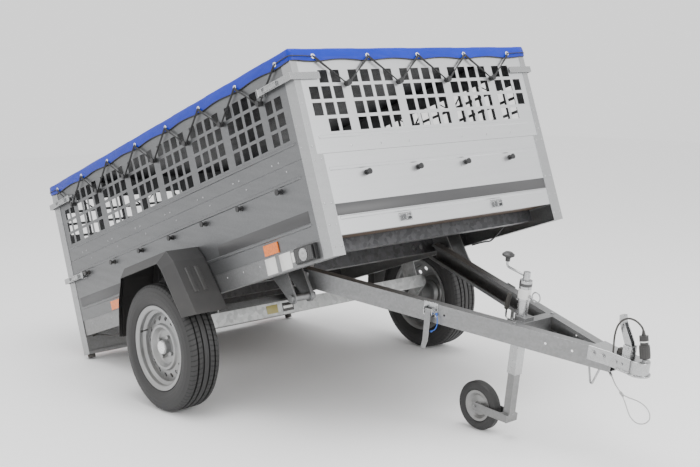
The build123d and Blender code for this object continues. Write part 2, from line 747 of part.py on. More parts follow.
# ---- wiring clipped under the box ----------------------------------------------------------
harness = 7.0
with BuildPart() as wiring_harness:
    run_y = half_w - 40.0
    run_z = skirt_bottom - harness / 2 - 0.3
    front_loop = [(869.7, 500, run_z + 44), (830, 504, run_z + 22), (760, 520, run_z - 4),
                  (700, 560, run_z - 10), (640, 594, run_z - 4), (585, run_y, run_z),
                  (530, run_y, run_z)]
    rear_loop = [(-420, -run_y, run_z), (-520, -run_y, run_z), (-620, -run_y, run_z - 3),
                 (-700, -run_y, run_z - 24), (-790, -run_y, run_z - 34), (-880, -run_y, run_z - 14),
                 (-950, -run_y, run_z - 2), (-1000, -run_y, run_z - 2)]
    for path in (front_loop, rear_loop):
        with BuildLine() as route:
            FilletPolyline(*path, radius=[0.9 * r for r in cord_radii(path)])
        with BuildSketch(Plane(origin=route.line @ 0, z_dir=route.line % 0)) as section:
            Circle(harness / 2)
        sweep(section.sketch, path=route.line)
finish(wiring_harness, "wiring_harness", tipped)

# ---- drawbar arms: folded channels, open towards the centre --------------------------------
splay = radians(arm_splay)
arm_bottom = arm_top - arm_height
arm_wall = 3.0


def arm_outer(u):
    """Distance of an arm's outer face from the centre line at a place along the drawbar."""
    return arm_half_spread - u * tan(splay)


def arm_point(side, u, height, out=0.0):
    """Point on an arm's outer face, or out from it."""
    return Vector(u + out * sin(splay), side * (arm_outer(u) + out * cos(splay)), height)


def arm_plane(side, u, height):
    """Plane on an arm's outer face, facing outward: x forward along the arm, y up or down."""
    return Plane(origin=arm_point(side, u, height), x_dir=(-side * cos(splay), sin(splay), 0),
                 z_dir=(sin(splay), side * cos(splay), 0))


# the tails swing under the main beam as the drawbar comes level
tail_sweep = hypot(hinge_x - main_beam_x - beam_depth / 2, beam_bottom - hinge_z) - 2.0


def drawbar_arm(side):
    start = arm_point(side, -arm_tail, 0)
    run = (arm_nose + arm_tail + 30) / cos(splay)
    section = Plane(origin=start, x_dir=(-sin(splay), -side * cos(splay), 0),
                    z_dir=(cos(splay), -side * sin(splay), 0))
    lip = 14.0
    profile = [(0, arm_bottom), (arm_width, arm_bottom), (arm_width, arm_bottom + lip),
               (arm_width - arm_wall, arm_bottom + lip), (arm_width - arm_wall, arm_bottom + arm_wall),
               (arm_wall, arm_bottom + arm_wall), (arm_wall, arm_top - arm_wall),
               (arm_width - arm_wall, arm_top - arm_wall), (arm_width - arm_wall, arm_top - lip),
               (arm_width, arm_top - lip), (arm_width, arm_top), (0, arm_top)]
    with BuildPart() as arm:
        with BuildSketch(section) as channel:
            with BuildLine():
                Polyline(*[(x, -side * z) for x, z in profile], close=True)
            make_face()
        extrude(channel.sketch, amount=run)
        block(arm_nose, arm_nose + 200, -200, 200, arm_bottom - 1, arm_top + 1, mode=Mode.SUBTRACT)
        block(900, arm_nose + 1, side * 0.25, -side * 200, arm_bottom - 1, arm_top + 1,
              mode=Mode.SUBTRACT)
        with BuildSketch(across(arm_half_spread + arm_tail)) as tail_corner:
            with Locations((-tail_sweep, arm_top)):
                Rectangle(tail_sweep, 2 * arm_top)
            Circle(tail_sweep, mode=Mode.SUBTRACT)
        extrude(tail_corner.sketch, amount=2 * (arm_half_spread + arm_tail), mode=Mode.SUBTRACT)
        for u in (556.0, 955.0, 1054.0):
            rod(arm_point(side, u, arm_top - 36, 5), arm_point(side, u, arm_top - 36, -8), 5,
                mode=Mode.SUBTRACT)
    return arm


for side, hand in sides:
    finish(drawbar_arm(side), "drawbar_arm_" + hand, drawn_down)

# ---- hinge plates on the arm tails, running on the bracket pins -----------------------------
plate_y = arm_outer(-arm_tail) + 0.3
plate = 6.0
with BuildPart() as arm_hinge_plates:
    for side, hand in sides:
        plane = Plane(origin=(0, side * plate_y, 0), x_dir=(-side, 0, 0), z_dir=(0, side, 0))
        with BuildSketch(plane) as web:
            with Locations((side * 78, 54)):
                Rectangle(68, 68)
            with Locations((0, 0)):
                Circle(24)
            make_hull()
        extrude(web.sketch, amount=plate)
        with BuildSketch(level(arm_bottom + 12)) as wedge:
            with BuildLine():
                Polyline((-arm_tail, side * (arm_outer(-arm_tail) + 0.02)),
                         (-48, side * (arm_outer(-48) + 0.02)),
                         (-48, side * plate_y), (-arm_tail, side * plate_y), close=True)
            make_face()
        extrude(wedge.sketch, amount=arm_height - 24)
        rod((0, side * (plate_y - 1), 0), (0, side * (plate_y + plate + 1), 0), pin_r + fit_gap,
            mode=Mode.SUBTRACT)
        for u, w in ((-96, 74), (-66, 74), (-66, 44)):
            rod((u, side * (plate_y + plate), w), (u, side * (plate_y + plate + 1.5), w), 7)
finish(arm_hinge_plates, "arm_hinge_plates", drawn_down)

# ---- cross plate with the fixed half of the jockey clamp ------------------------------------
cross_back = 797.0
cross_front = 836.0
tube_r = 21.0
post = (jockey_x, jockey_y)
clamp_wall = 5.0


def inner_edge(u):
    return arm_outer(u) - arm_width / cos(splay)


with BuildPart() as cross_plate:
    for z0, z1 in ((arm_top - 4, arm_top), (arm_bottom, arm_bottom + 4)):
        with BuildSketch(level(z0)) as web:
            with BuildLine():
                Polyline(*[(u, s * (inner_edge(u) - 0.1)) for u, s in (
                    (cross_back, -1), (cross_back, 1), (cross_front, 1), (cross_front, -1))],
                    close=True)
            make_face()
        extrude(web.sketch, amount=z1 - z0)
    block(cross_front - 4, cross_front, -inner_edge(cross_front) + 0.1,
          inner_edge(cross_front) - 0.1, arm_bottom, arm_top)
    for z0, z1 in ((arm_top, arm_top + 16), (arm_bottom - 14, arm_bottom)):
        with BuildSketch(level(z0)) as collar:
            with Locations(post):
                Circle(tube_r + clamp_wall)
        extrude(collar.sketch, amount=z1 - z0)
    block(jockey_x - 10, cross_front - 4, jockey_y - 26, jockey_y + 26, arm_bottom - 14, arm_top + 16)
    rod((jockey_x, jockey_y, arm_bottom - 30), (jockey_x, jockey_y, arm_top + 40), tube_r + fit_gap,
        mode=Mode.SUBTRACT)
    clamp_x = jockey_x - tube_r - clamp_wall - 22.0
    clamp_z = arm_top - 24.0
    with BuildSketch(level(clamp_z - 16)) as ring:
        with Locations(post):
            Circle(tube_r + clamp_wall)
            Circle(tube_r + fit_gap, mode=Mode.SUBTRACT)
        with Locations((jockey_x + 30, jockey_y)):
            Rectangle(70, 80, mode=Mode.SUBTRACT)
    extrude(ring.sketch, amount=32)
    for s in (-1, 1):
        block(clamp_x - 8, jockey_x - tube_r - 2, jockey_y + s * 8, jockey_y + s * 13,
              clamp_z - 10, clamp_z + 10)
    rod((clamp_x, jockey_y - 16, clamp_z), (clamp_x, jockey_y + 16, clamp_z), 4)
finish(cross_plate, "cross_plate", drawn_down)

# ---- coupler: pressed channel over the arm noses, domed socket for a 50 mm ball --------------
ball_x = 1297.0
ball_z = 60.0
ball_r = 25.0
coupler_back = 1112.0
coupler_wall = 4.0
coupler_low = 45.0
socket_r = 37.0
neck = 33.0

with BuildPart() as coupler_body:
    with BuildSketch(level(coupler_low)) as skin:
        with BuildLine():
            Polyline(*[(u, s * y) for u, y, s in (
                (coupler_back, arm_outer(coupler_back) + coupler_wall + 0.6, -1),
                (arm_nose, neck, -1), (ball_x, neck, -1), (ball_x, neck, 1), (arm_nose, neck, 1),
                (coupler_back, arm_outer(coupler_back) + coupler_wall + 0.6, 1))], close=True)
        make_face()
        with Locations((ball_x, 0)):
            Circle(socket_r)
    extrude(skin.sketch, amount=arm_top + coupler_wall + 0.2 - coupler_low)
    fillet(coupler_body.faces().sort_by(Axis.Z)[-1].edges(), radius=3.5)
    with BuildSketch(level(coupler_low)) as rim_flange:
        with Locations((ball_x, 0)):
            Circle(socket_r + 6)
    extrude(rim_flange.sketch, amount=5)
    block(ball_x - 70, ball_x, -neck - 6, neck + 6, coupler_low, coupler_low + 5)
    with BuildSketch(level(coupler_low - 1)) as cavity:
        with BuildLine():
            Polyline(*[(u, s * y) for u, y, s in (
                (coupler_back - 1, arm_outer(coupler_back - 1) + 0.6, -1),
                (arm_nose, neck - coupler_wall, -1), (ball_x - 34, neck - coupler_wall, -1),
                (ball_x - 34, neck - coupler_wall, 1), (arm_nose, neck - coupler_wall, 1),
                (coupler_back - 1, arm_outer(coupler_back - 1) + 0.6, 1))], close=True)
        make_face()
    extrude(cavity.sketch, amount=arm_top + 0.2 - coupler_low + 1, mode=Mode.SUBTRACT)
    with Locations((ball_x, 0, ball_z)):
        Sphere(ball_r + 0.4, mode=Mode.SUBTRACT)
    rod((ball_x, 0, coupler_low - 2), (ball_x, 0, ball_z), ball_r + 0.4, mode=Mode.SUBTRACT)
    handle_x = 1252.0
    handle_z = 126.0
    for s in (-1, 1):
        block(handle_x - 18, handle_x + 14, s * 14, s * 19, arm_top + coupler_wall - 2, handle_z + 10)
    rod((handle_x, -22, handle_z), (handle_x, 22, handle_z), 5)
    rod((1316, 0, arm_top), (1316, 0, arm_top + 12), 9)
finish(coupler_body, "coupler_body", drawn_down)

handle_length = 117.0
handle_tilt = 63.0           # raised above the drawbar, pointing back
lift = radians(handle_tilt)
with BuildPart() as coupler_handle:
    grip_plane = Plane(origin=(handle_x, -12, handle_z), x_dir=(-cos(lift), 0, sin(lift)),
                       z_dir=(0, -1, 0))
    with BuildSketch(grip_plane) as lever:
        with BuildLine():
            Polyline((-14, -12), (20, -15), (handle_length - 24, -8), (handle_length, -14),
                     (handle_length + 4, 2), (handle_length - 20, 10), (20, 12), (-12, 11), close=True)
        make_face()
    extrude(lever.sketch, amount=-24)
    fillet(coupler_handle.edges().filter_by(Axis.Y), radius=3)
    inner = Plane(origin=(handle_x, -9, handle_z), x_dir=(-cos(lift), 0, sin(lift)), z_dir=(0, -1, 0))
    with BuildSketch(inner) as hollow:
        with BuildLine():
            Polyline((-40, -40), (handle_length - 26, -40), (handle_length - 26, 5), (20, 7),
                     (-40, 7), close=True)
        make_face()
    extrude(hollow.sketch, amount=-18, mode=Mode.SUBTRACT)
    rod((handle_x, -13, handle_z), (handle_x, 13, handle_z), 5 + fit_gap, mode=Mode.SUBTRACT)
finish(coupler_handle, "coupler_handle", drawn_down)

with BuildPart() as coupler_boot:
    with BuildSketch(level(arm_top + coupler_wall + 0.5)) as foot:
        with Locations((handle_x - 34, 0)):
            RectangleRounded(28, 30, 8)
    extrude(foot.sketch, amount=16, taper=14)
finish(coupler_boot, "coupler_boot", drawn_down)

# ---- bolt heads on the drawbar ---------------------------------------------------------------
with BuildPart() as drawbar_bolts:
    for side, hand in sides:
        coupler_side = atan2(arm_outer(coupler_back) + coupler_wall + 0.6 - neck,
                             arm_nose - coupler_back)
        for u, radius in ((1131.0, 9.5), (1168.0, 9.5)):
            share = (u - coupler_back) / (arm_nose - coupler_back)
            face_y = (arm_outer(coupler_back) + coupler_wall + 0.6) * (1 - share) + neck * share
            normal = Vector(sin(coupler_side), side * cos(coupler_side), 0)
            start = Vector(u, side * face_y, 72)
            rod(start, start + normal * 2, radius + 3)
            with BuildSketch(Plane(origin=start + normal * 2, z_dir=normal)) as head:
                RegularPolygon(radius, 6)
            extrude(head.sketch, amount=7)
        for u in (1222.0, 1246.0):
            rod((u, side * neck, 70), (u, side * (neck + 4), 70), 5.5)
    for side, hand in sides:
        centre_y = side * (inner_edge(816) + 18)
        rod((816, centre_y, arm_top), (816, centre_y, arm_top + 6), 7)
finish(drawbar_bolts, "drawbar_bolts", drawn_down)

# ---- rod hook below the nose and lock brackets on the arms -----------------------------------
lock_u = 500.0
lock_pivot = arm_top - 26.0
bracket_out = 24.0
with BuildPart() as drawbar_fittings:
    hook_y = 8.0
    bent_rod([(1066, hook_y, arm_bottom - 4), (1084, hook_y, arm_bottom - 4),
              (1112, 0, arm_bottom - 88), (1146, -hook_y, arm_bottom - 4),
              (1160, -hook_y, arm_bottom - 4)], 4, 7)
    for side, hand in sides:
        plane = arm_plane(side, lock_u, 0)
        with BuildSketch(plane) as web:
            with Locations((0, arm_top - 24)):
                Rectangle(60, 56)
        extrude(web.sketch, amount=3)
        for u in (lock_u - 17, lock_u + 17):
            cheek_plane = Plane(origin=arm_point(side, u, 0, 2), x_dir=(sin(splay), side * cos(splay), 0),
                                z_dir=(cos(splay), -side * sin(splay), 0))
            with BuildSketch(cheek_plane) as ear:
                with Locations((bracket_out / 2, side * lock_pivot)):
                    Rectangle(bracket_out, 26)
            extrude(ear.sketch, amount=1.5, both=True)
        rod(arm_point(side, lock_u - 22, lock_pivot, 17), arm_point(side, lock_u + 22, lock_pivot, 17), 4)
finish(drawbar_fittings, "drawbar_fittings", drawn_down)


def lock_lever(side):
    """Hanging hook lever that swings up to the striker when the box is lowered."""
    pivot = arm_point(side, lock_u, lock_pivot, 17)
    along = Vector(cos(splay), -side * sin(splay), 0)
    out = Vector(sin(splay), side * cos(splay), 0)
    face = Plane(origin=pivot + out * 4.5, x_dir=(-side * cos(splay), sin(splay), 0),
                 z_dir=(sin(splay), side * cos(splay), 0))
    with BuildPart() as lever:
        rod(pivot - along * 15, pivot + along * 15, 8)
        with BuildSketch(face) as strap:
            with BuildLine():
                Polyline(*[(-side * x, y) for x, y in (
                    (-12, 6), (12, 6), (12, -118), (4, -152), (-14, -152), (-10, -118))], close=True)
            make_face()
        extrude(strap.sketch, amount=4)
        rod(pivot - along * 16, pivot + along * 16, 4 + fit_gap, mode=Mode.SUBTRACT)
    return lever


for side, hand in sides:
    finish(lock_lever(side), "lock_lever_" + hand, drawn_down)

# ---- jockey wheel ---------------------------------------------------------------------------
sleeve_half = 20.0
sleeve_wall = 2.5
sleeve_bottom = -128.0
sleeve_top = arm_bottom - 16.0
leg_half = 16.5
leg_square_top = sleeve_top - 110.0
inner_r = 15.0
inner_top = sleeve_top + 38.0
tube_top = 246.0
cover_bottom = 168.0
cover_r = 24.0
spindle_r = 6.0
jockey_axle = (jockey_x - 150.0, jockey_y)
pitch = radians(drawbar_pitch)
axle_z = (jockey_wheel_radius - hinge_ground.Z + jockey_axle[0] * sin(pitch)) / cos(pitch)
leg_bottom = axle_z + 19.0
jockey_width = 44.0
fork_half = 27.0

with BuildPart() as jockey_tube:
    with BuildSketch(level(sleeve_bottom)) as square:
        with Locations(post):
            Rectangle(2 * sleeve_half, 2 * sleeve_half)
            Rectangle(2 * (sleeve_half - sleeve_wall), 2 * (sleeve_half - sleeve_wall),
                      mode=Mode.SUBTRACT)
    extrude(square.sketch, amount=sleeve_top - sleeve_bottom)
    rod((*post, sleeve_top - 4), (*post, tube_top), tube_r)
    rod((*post, cover_bottom), (*post, tube_top), cover_r)
    rod((*post, sleeve_top - 5), (*post, tube_top - 8), tube_r - 2.5, mode=Mode.SUBTRACT)
    rod((*post, tube_top - 9), (*post, tube_top + 1), spindle_r + fit_gap, mode=Mode.SUBTRACT)
finish(jockey_tube, "jockey_tube", drawn_down)

crank_reach = 100.0
crank_top = tube_top + 32.0
with BuildPart() as crank:
    rod((*post, tube_top + 0.5), (*post, crank_top), 13.5)
    rod((*post, sleeve_top - 70), (*post, tube_top + 1), spindle_r)
    bent_rod([(jockey_x, jockey_y, tube_top + 14), (jockey_x - crank_reach, jockey_y, tube_top + 26),
              (jockey_x - crank_reach, jockey_y, tube_top + 62)], 4.5, 14)
finish(crank, "crank", drawn_down)

with BuildPart() as crank_knob:
    knob = (jockey_x - crank_reach, jockey_y)
    with BuildSketch(Plane(origin=(*knob, 0), x_dir=(1, 0, 0), z_dir=(0, -1, 0))) as profile:
        with BuildLine():
            base = tube_top + 46
            Polyline((0, base), (9, base), (10, base + 14), (24, base + 22), (24, base + 28),
                     (14, base + 36), (0, base + 39), close=True)
        make_face()
    revolve(profile.sketch, axis=Axis((*knob, 0), (0, 0, 1)))
    rod((*knob, base - 1), (*knob, tube_top + 62.2), 4.55, mode=Mode.SUBTRACT)
finish(crank_knob, "crank_knob", drawn_down)

with BuildPart() as jockey_leg:
    with BuildSketch(level(leg_bottom)) as square:
        with Locations(post):
            Rectangle(2 * leg_half, 2 * leg_half)
    extrude(square.sketch, amount=leg_square_top - leg_bottom)
    rod((*post, leg_square_top - 1), (*post, inner_top), inner_r)
    block(jockey_x - 20, jockey_x + 17, jockey_y - fork_half - 4, jockey_y + fork_half + 4,
          leg_bottom - 24, leg_bottom + 6)
    for s in (-1, 1):
        plane = Plane(origin=(0, jockey_y + s * fork_half, 0), x_dir=(-s, 0, 0), z_dir=(0, s, 0))
        with BuildSketch(plane) as web:
            with Locations((-s * (jockey_x - 4), leg_bottom - 9)):
                Rectangle(26, 30)
            with Locations((-s * jockey_axle[0], axle_z)):
                Circle(17)
            make_hull()
        extrude(web.sketch, amount=4)
    rod((jockey_axle[0], jockey_y - fork_half - 10, axle_z),
        (jockey_axle[0], jockey_y + fork_half + 10, axle_z), 6)
    rod((*post, leg_bottom + 60), (*post, inner_top + 1), spindle_r + 3, mode=Mode.SUBTRACT)
    rod((*post, inner_top - 10), (*post, inner_top), inner_r)
    rod((*post, inner_top - 11), (*post, inner_top + 1), spindle_r + fit_gap, mode=Mode.SUBTRACT)
finish(jockey_leg, "jockey_leg", drawn_down)


def turned_jockey(points):
    plane = Plane(origin=(jockey_axle[0], jockey_y, axle_z), x_dir=(0, 1, 0), z_dir=(-1, 0, 0))
    with BuildSketch(plane) as profile:
        with BuildLine():
            Polyline(*points, close=True)
        make_face()
    revolve(profile.sketch, axis=Axis((jockey_axle[0], jockey_y, axle_z), (0, 1, 0)))


hub_half = fork_half - seat_gap
with BuildPart() as jockey_rim:
    turned_jockey([(-hub_half, 6 + fit_gap), (-hub_half, 15), (-9, 17), (-4, 40), (-15, 52), (-16, 62),
                   (16, 62), (15, 52), (4, 40), (9, 17), (hub_half, 15), (hub_half, 6 + fit_gap)])
finish(jockey_rim, "jockey_rim", drawn_down)
with BuildPart() as jockey_tyre:
    turned_jockey([(-15.8, 62.2), (-21, 68), (-22, 80), (-19, 93), (-11, jockey_wheel_radius),
                   (11, jockey_wheel_radius), (19, 93), (22, 80), (21, 68), (15.8, 62.2)])
finish(jockey_tyre, "jockey_tyre", drawn_down)

# ---- clamp lever and ring pin ----------------------------------------------------------------
with BuildPart() as clamp_lever:
    rod((clamp_x, jockey_y - 7.5, clamp_z), (clamp_x, jockey_y + 7.5, clamp_z), 8)
    bent_rod([(clamp_x - 6, jockey_y, clamp_z), (clamp_x - 28, jockey_y, clamp_z + 8),
              (clamp_x - 30, jockey_y, clamp_z + 60)], 3.5, 9)
    rod((clamp_x - 30, jockey_y, clamp_z + 46), (clamp_x - 22, jockey_y, clamp_z + 98), 8)
    rod((clamp_x, jockey_y - 9, clamp_z), (clamp_x, jockey_y + 9, clamp_z), 4 + fit_gap,
        mode=Mode.SUBTRACT)
finish(clamp_lever, "clamp_lever", drawn_down)

ring_z = cover_bottom + 20.0
with BuildPart() as ring_pin:
    pin_start = jockey_x + cover_r
    rod((pin_start, jockey_y, ring_z), (pin_start + 14, jockey_y, ring_z), 6)
    with Locations(Plane(origin=(pin_start + 32, jockey_y, ring_z + 6), x_dir=(1, 0, 0), z_dir=(0, 1, 0))):
        Torus(19, 2.5)
finish(ring_pin, "ring_pin", drawn_down)

# ---- plug parked on the coupler, its cable, the safety cable and the lock lanyard ------------
plug_foot = Vector(1316, 0, arm_top + 16.8)
plug_head = Vector(1296, 0, 188)
plug_way = (plug_head - plug_foot).normalized()
with BuildPart() as plug:
    for start, stop, radius in ((0, 46, 18.5), (46, 60, 14.5), (60, 80, 16.0)):
        rod(plug_foot + plug_way * start, plug_foot + plug_way * stop, radius)
finish(plug, "plug", drawn_down)

plug_cable_points = [
    plug_foot + plug_way * 80.2, plug_foot + plug_way * 96, (1290, -8, 218), (1272, -19, 236),
    (1246, -26, 240), (1222, -29, 226), (1207, -30, 202), (1201, -30, 174), (1200, -29, 146),
    (1201, -27, 120), (1202, -26, arm_top + coupler_wall + 0.4)]
with BuildPart() as plug_cable:
    cord_tube("plug_cable", plug_cable_points, 7.0)
finish(plug_cable, "plug_cable", drawn_down)

safety_cable_points = [
    (1184, -4, arm_bottom - 2.3), (1204, -13, 4), (1226, -26, -10), (1250, -34, -22), (1272, -37, -34),
    (1300, -37, -36), (1332, -34, -34), (1362, -29, -42), (1384, -25, -62), (1386, -22, -90),
    (1368, -22, -112), (1340, -27, -120), (1314, -31, -106), (1298, -32, -82), (1284, -32, -58),
    (1270, -31, -42)]
with BuildPart() as safety_cable:
    cord_tube("safety_cable", safety_cable_points, 4.0)
finish(safety_cable, "safety_cable", drawn_down)

lanyard_start = arm_point(-1, lock_u + 26, arm_top - 36, 5)
lanyard_route = [(0, 0, 0), (9, -3, -8), (15, -5, -22), (16, -6, -38), (12, -6, -54), (2, -5, -66),
                 (-13, -3, -75)]
lanyard_points = [lanyard_start + Vector(p) for p in lanyard_route]
with BuildPart() as lanyard:
    cord_tube("lanyard", lanyard_points, 4.0)
finish(lanyard, "lanyard", drawn_down)

# ---- stand the part on its own origin and write it -------------------------------------------
on_cords = ("plug_cable", "plug", "safety_cable", "lanyard")
boxes = [piece.bounding_box() for label, piece in pieces.items() if label not in on_cords]
low_corner = [min(getattr(b.min, k) for b in boxes) for k in "XYZ"]
high_corner = [max(getattr(b.max, k) for b in boxes) for k in "XYZ"]
origin = Vector((low_corner[0] + high_corner[0]) / 2, (low_corner[1] + high_corner[1]) / 2,
                low_corner[2])
to_origin = Location(origin * -1)
print("origin", origin, "size", [round(h - l, 1) for l, h in zip(low_corner, high_corner)])

os.makedirs("parts", exist_ok=True)
for label, piece in pieces.items():
    placed = piece.moved(to_origin)
    placed.label = label
    export_step(placed, f"parts/{label}.step")
print(len(pieces), "nodes written")
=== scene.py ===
import math

import bmesh
import bpy
from mathutils import Matrix, Vector, noise


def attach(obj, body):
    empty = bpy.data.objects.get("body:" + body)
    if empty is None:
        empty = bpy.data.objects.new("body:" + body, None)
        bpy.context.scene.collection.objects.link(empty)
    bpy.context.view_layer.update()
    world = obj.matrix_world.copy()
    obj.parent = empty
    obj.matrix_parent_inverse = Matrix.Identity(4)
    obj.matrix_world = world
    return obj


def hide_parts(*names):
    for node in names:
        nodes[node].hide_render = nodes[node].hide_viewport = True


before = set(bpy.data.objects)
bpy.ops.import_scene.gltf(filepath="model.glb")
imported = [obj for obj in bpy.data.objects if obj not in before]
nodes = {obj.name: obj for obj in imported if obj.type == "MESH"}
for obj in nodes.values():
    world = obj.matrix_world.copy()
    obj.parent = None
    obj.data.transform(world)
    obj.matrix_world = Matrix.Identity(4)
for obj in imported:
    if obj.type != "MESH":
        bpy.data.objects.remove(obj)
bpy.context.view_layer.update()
print("frame loaded")

# the box stands tipped about its axle, the drawbar is pitched down about its hinge; lengths in mm
pose = {"tip": math.radians(17.93), "pitch": math.radians(9.01), "axleHeight": 273.5,
        "originX": 274.065, "hingeX": 570.0, "hingeZ": 342.0}
trailer = {"halfLength": 1060.0, "halfWidth": 655.0, "floor": 512.5, "seam": 820.0,
           "meshTop": 1222.0, "wallFace": 653.0, "frontFace": 1058.0, "railFace": 651.0,
           "wheelPlane": 770.0, "hooksAlong": [278.0 * n for n in range(-3, 4)],
           "hooksAcross": [-408.0, -136.0, 136.0, 408.0]}

boxMatrix = (Matrix.Translation((-pose["originX"] / 1000, 0, pose["axleHeight"] / 1000))
             @ Matrix.Rotation(-pose["tip"], 4, "Y")
             @ Matrix.Translation((0, 0, -pose["axleHeight"] / 1000)))
hingeSpot = boxMatrix @ Vector((pose["hingeX"] / 1000, 0, pose["hingeZ"] / 1000))
barMatrix = Matrix.Translation(hingeSpot) @ Matrix.Rotation(pose["pitch"], 4, "Y")


def onBox(x, y, z):
    return boxMatrix @ Vector((x / 1000, y / 1000, z / 1000))


def onBar(x, y, z):
    return barMatrix @ Vector((x / 1000, y / 1000, z / 1000))


# the camera: turn in degrees, lens in mm, place in metres
view = {"azimuth": 49.322, "elevation": 8.573, "roll": -1.202, "lens": 57.38,
        "place": (3.7442, -3.2061, 1.4388)}


def makeCamera():
    az, el, roll = (math.radians(view[k]) for k in ("azimuth", "elevation", "roll"))
    back = Vector((math.sin(az) * math.cos(el), -math.cos(az) * math.cos(el), math.sin(el)))
    right = Vector((0, 0, 1)).cross(back).normalized()
    up = back.cross(right)
    columns = (right * math.cos(roll) + up * math.sin(roll),
               up * math.cos(roll) - right * math.sin(roll), back)
    camera = bpy.data.objects.new("camera", bpy.data.cameras.new("camera"))
    bpy.context.scene.collection.objects.link(camera)
    camera.data.lens = view["lens"]
    camera.data.sensor_width = 36.0
    camera.data.clip_end = 60.0
    turn = Matrix([[columns[c][r] for c in range(3)] for r in range(3)]).to_4x4()
    camera.matrix_world = Matrix.Translation(view["place"]) @ turn
    bpy.context.scene.camera = camera


makeCamera()


def addNode(tree, kind, **settings):
    made = tree.nodes.new(kind)
    for key, value in settings.items():
        setattr(made, key, value)
    return made


def newGroup(name, inputs, outputs):
    tree = bpy.data.node_groups.new(name, "ShaderNodeTree")
    for label, value in inputs:
        socket = tree.interface.new_socket(label, in_out="INPUT", socket_type="NodeSocketFloat")
        socket.default_value = value
    for label, kind in outputs:
        tree.interface.new_socket(label, in_out="OUTPUT", socket_type=kind)
    return tree, addNode(tree, "NodeGroupInput"), addNode(tree, "NodeGroupOutput")


def mathNode(tree, operation, a, b=None):
    made = addNode(tree, "ShaderNodeMath", operation=operation)
    for index, value in enumerate((a, b)):
        if value is None:
            continue
        if isinstance(value, (int, float)):
            made.inputs[index].default_value = value
        else:
            tree.links.new(value, made.inputs[index])
    return made.outputs[0]


def makeSpangle():
    # zinc crystals: a cell shade and faint streaks
    tree, given, out = newGroup("zincSpangle", [("Scale", 90.0), ("Streak", 0.4)],
                                [("Shade", "NodeSocketFloat"), ("Height", "NodeSocketFloat")])
    place = addNode(tree, "ShaderNodeTexCoord").outputs["Object"]
    wobble = addNode(tree, "ShaderNodeTexNoise")
    wobble.inputs["Scale"].default_value = 40.0
    tree.links.new(place, wobble.inputs["Vector"])
    bent = addNode(tree, "ShaderNodeVectorMath", operation="MULTIPLY_ADD")
    tree.links.new(wobble.outputs["Color"], bent.inputs[0])
    bent.inputs[1].default_value = (0.012, 0.012, 0.012)
    tree.links.new(place, bent.inputs[2])
    cells = addNode(tree, "ShaderNodeTexVoronoi")
    tree.links.new(bent.outputs[0], cells.inputs["Vector"])
    tree.links.new(given.outputs["Scale"], cells.inputs["Scale"])
    split = addNode(tree, "ShaderNodeSeparateColor")
    tree.links.new(cells.outputs["Color"], split.inputs[0])
    stretched = addNode(tree, "ShaderNodeMapping")
    stretched.inputs["Scale"].default_value = (1.5, 1.5, 14.0)
    tree.links.new(place, stretched.inputs["Vector"])
    streaks = addNode(tree, "ShaderNodeTexNoise")
    streaks.inputs["Scale"].default_value = 3.0
    streaks.inputs["Detail"].default_value = 5.0
    tree.links.new(stretched.outputs[0], streaks.inputs["Vector"])
    blend = addNode(tree, "ShaderNodeMix", data_type="FLOAT")
    tree.links.new(given.outputs["Streak"], blend.inputs["Factor"])
    tree.links.new(split.outputs[0], blend.inputs[2])
    tree.links.new(streaks.outputs[0], blend.inputs[3])
    tree.links.new(blend.outputs[0], out.inputs["Shade"])
    tree.links.new(cells.outputs["Distance"], out.inputs["Height"])
    return tree


def makeGrain():
    # fine moulded or rubber grain with a broad mottle
    tree, given, out = newGroup("fineGrain", [("Scale", 900.0)],
                                [("Height", "NodeSocketFloat"), ("Mottle", "NodeSocketFloat")])
    place = addNode(tree, "ShaderNodeTexCoord").outputs["Object"]
    fine = addNode(tree, "ShaderNodeTexNoise")
    fine.inputs["Detail"].default_value = 2.0
    tree.links.new(given.outputs["Scale"], fine.inputs["Scale"])
    broad = addNode(tree, "ShaderNodeTexNoise")
    broad.inputs["Scale"].default_value = 7.0
    broad.inputs["Detail"].default_value = 6.0
    for texture in (fine, broad):
        tree.links.new(place, texture.inputs["Vector"])
    tree.links.new(fine.outputs[0], out.inputs["Height"])
    tree.links.new(broad.outputs[0], out.inputs["Mottle"])
    return tree


def makeRoadDust():
    # dust that thins out with height above the ground
    tree, given, out = newGroup("roadDust", [("Top", 0.5), ("Amount", 0.5)],
                                [("Mask", "NodeSocketFloat")])
    place = addNode(tree, "ShaderNodeTexCoord").outputs["Object"]
    axes = addNode(tree, "ShaderNodeSeparateXYZ")
    tree.links.new(place, axes.inputs[0])
    share = mathNode(tree, "DIVIDE", axes.outputs["Z"], given.outputs["Top"])
    left = mathNode(tree, "SUBTRACT", 1.0, share)
    clipped = mathNode(tree, "MAXIMUM", left, 0.0)
    patches = addNode(tree, "ShaderNodeTexNoise")
    patches.inputs["Scale"].default_value = 18.0
    patches.inputs["Detail"].default_value = 8.0
    tree.links.new(place, patches.inputs["Vector"])
    mixed = mathNode(tree, "MULTIPLY", clipped, patches.outputs[0])
    tree.links.new(mathNode(tree, "MULTIPLY", mixed, given.outputs["Amount"]), out.inputs["Mask"])
    return tree


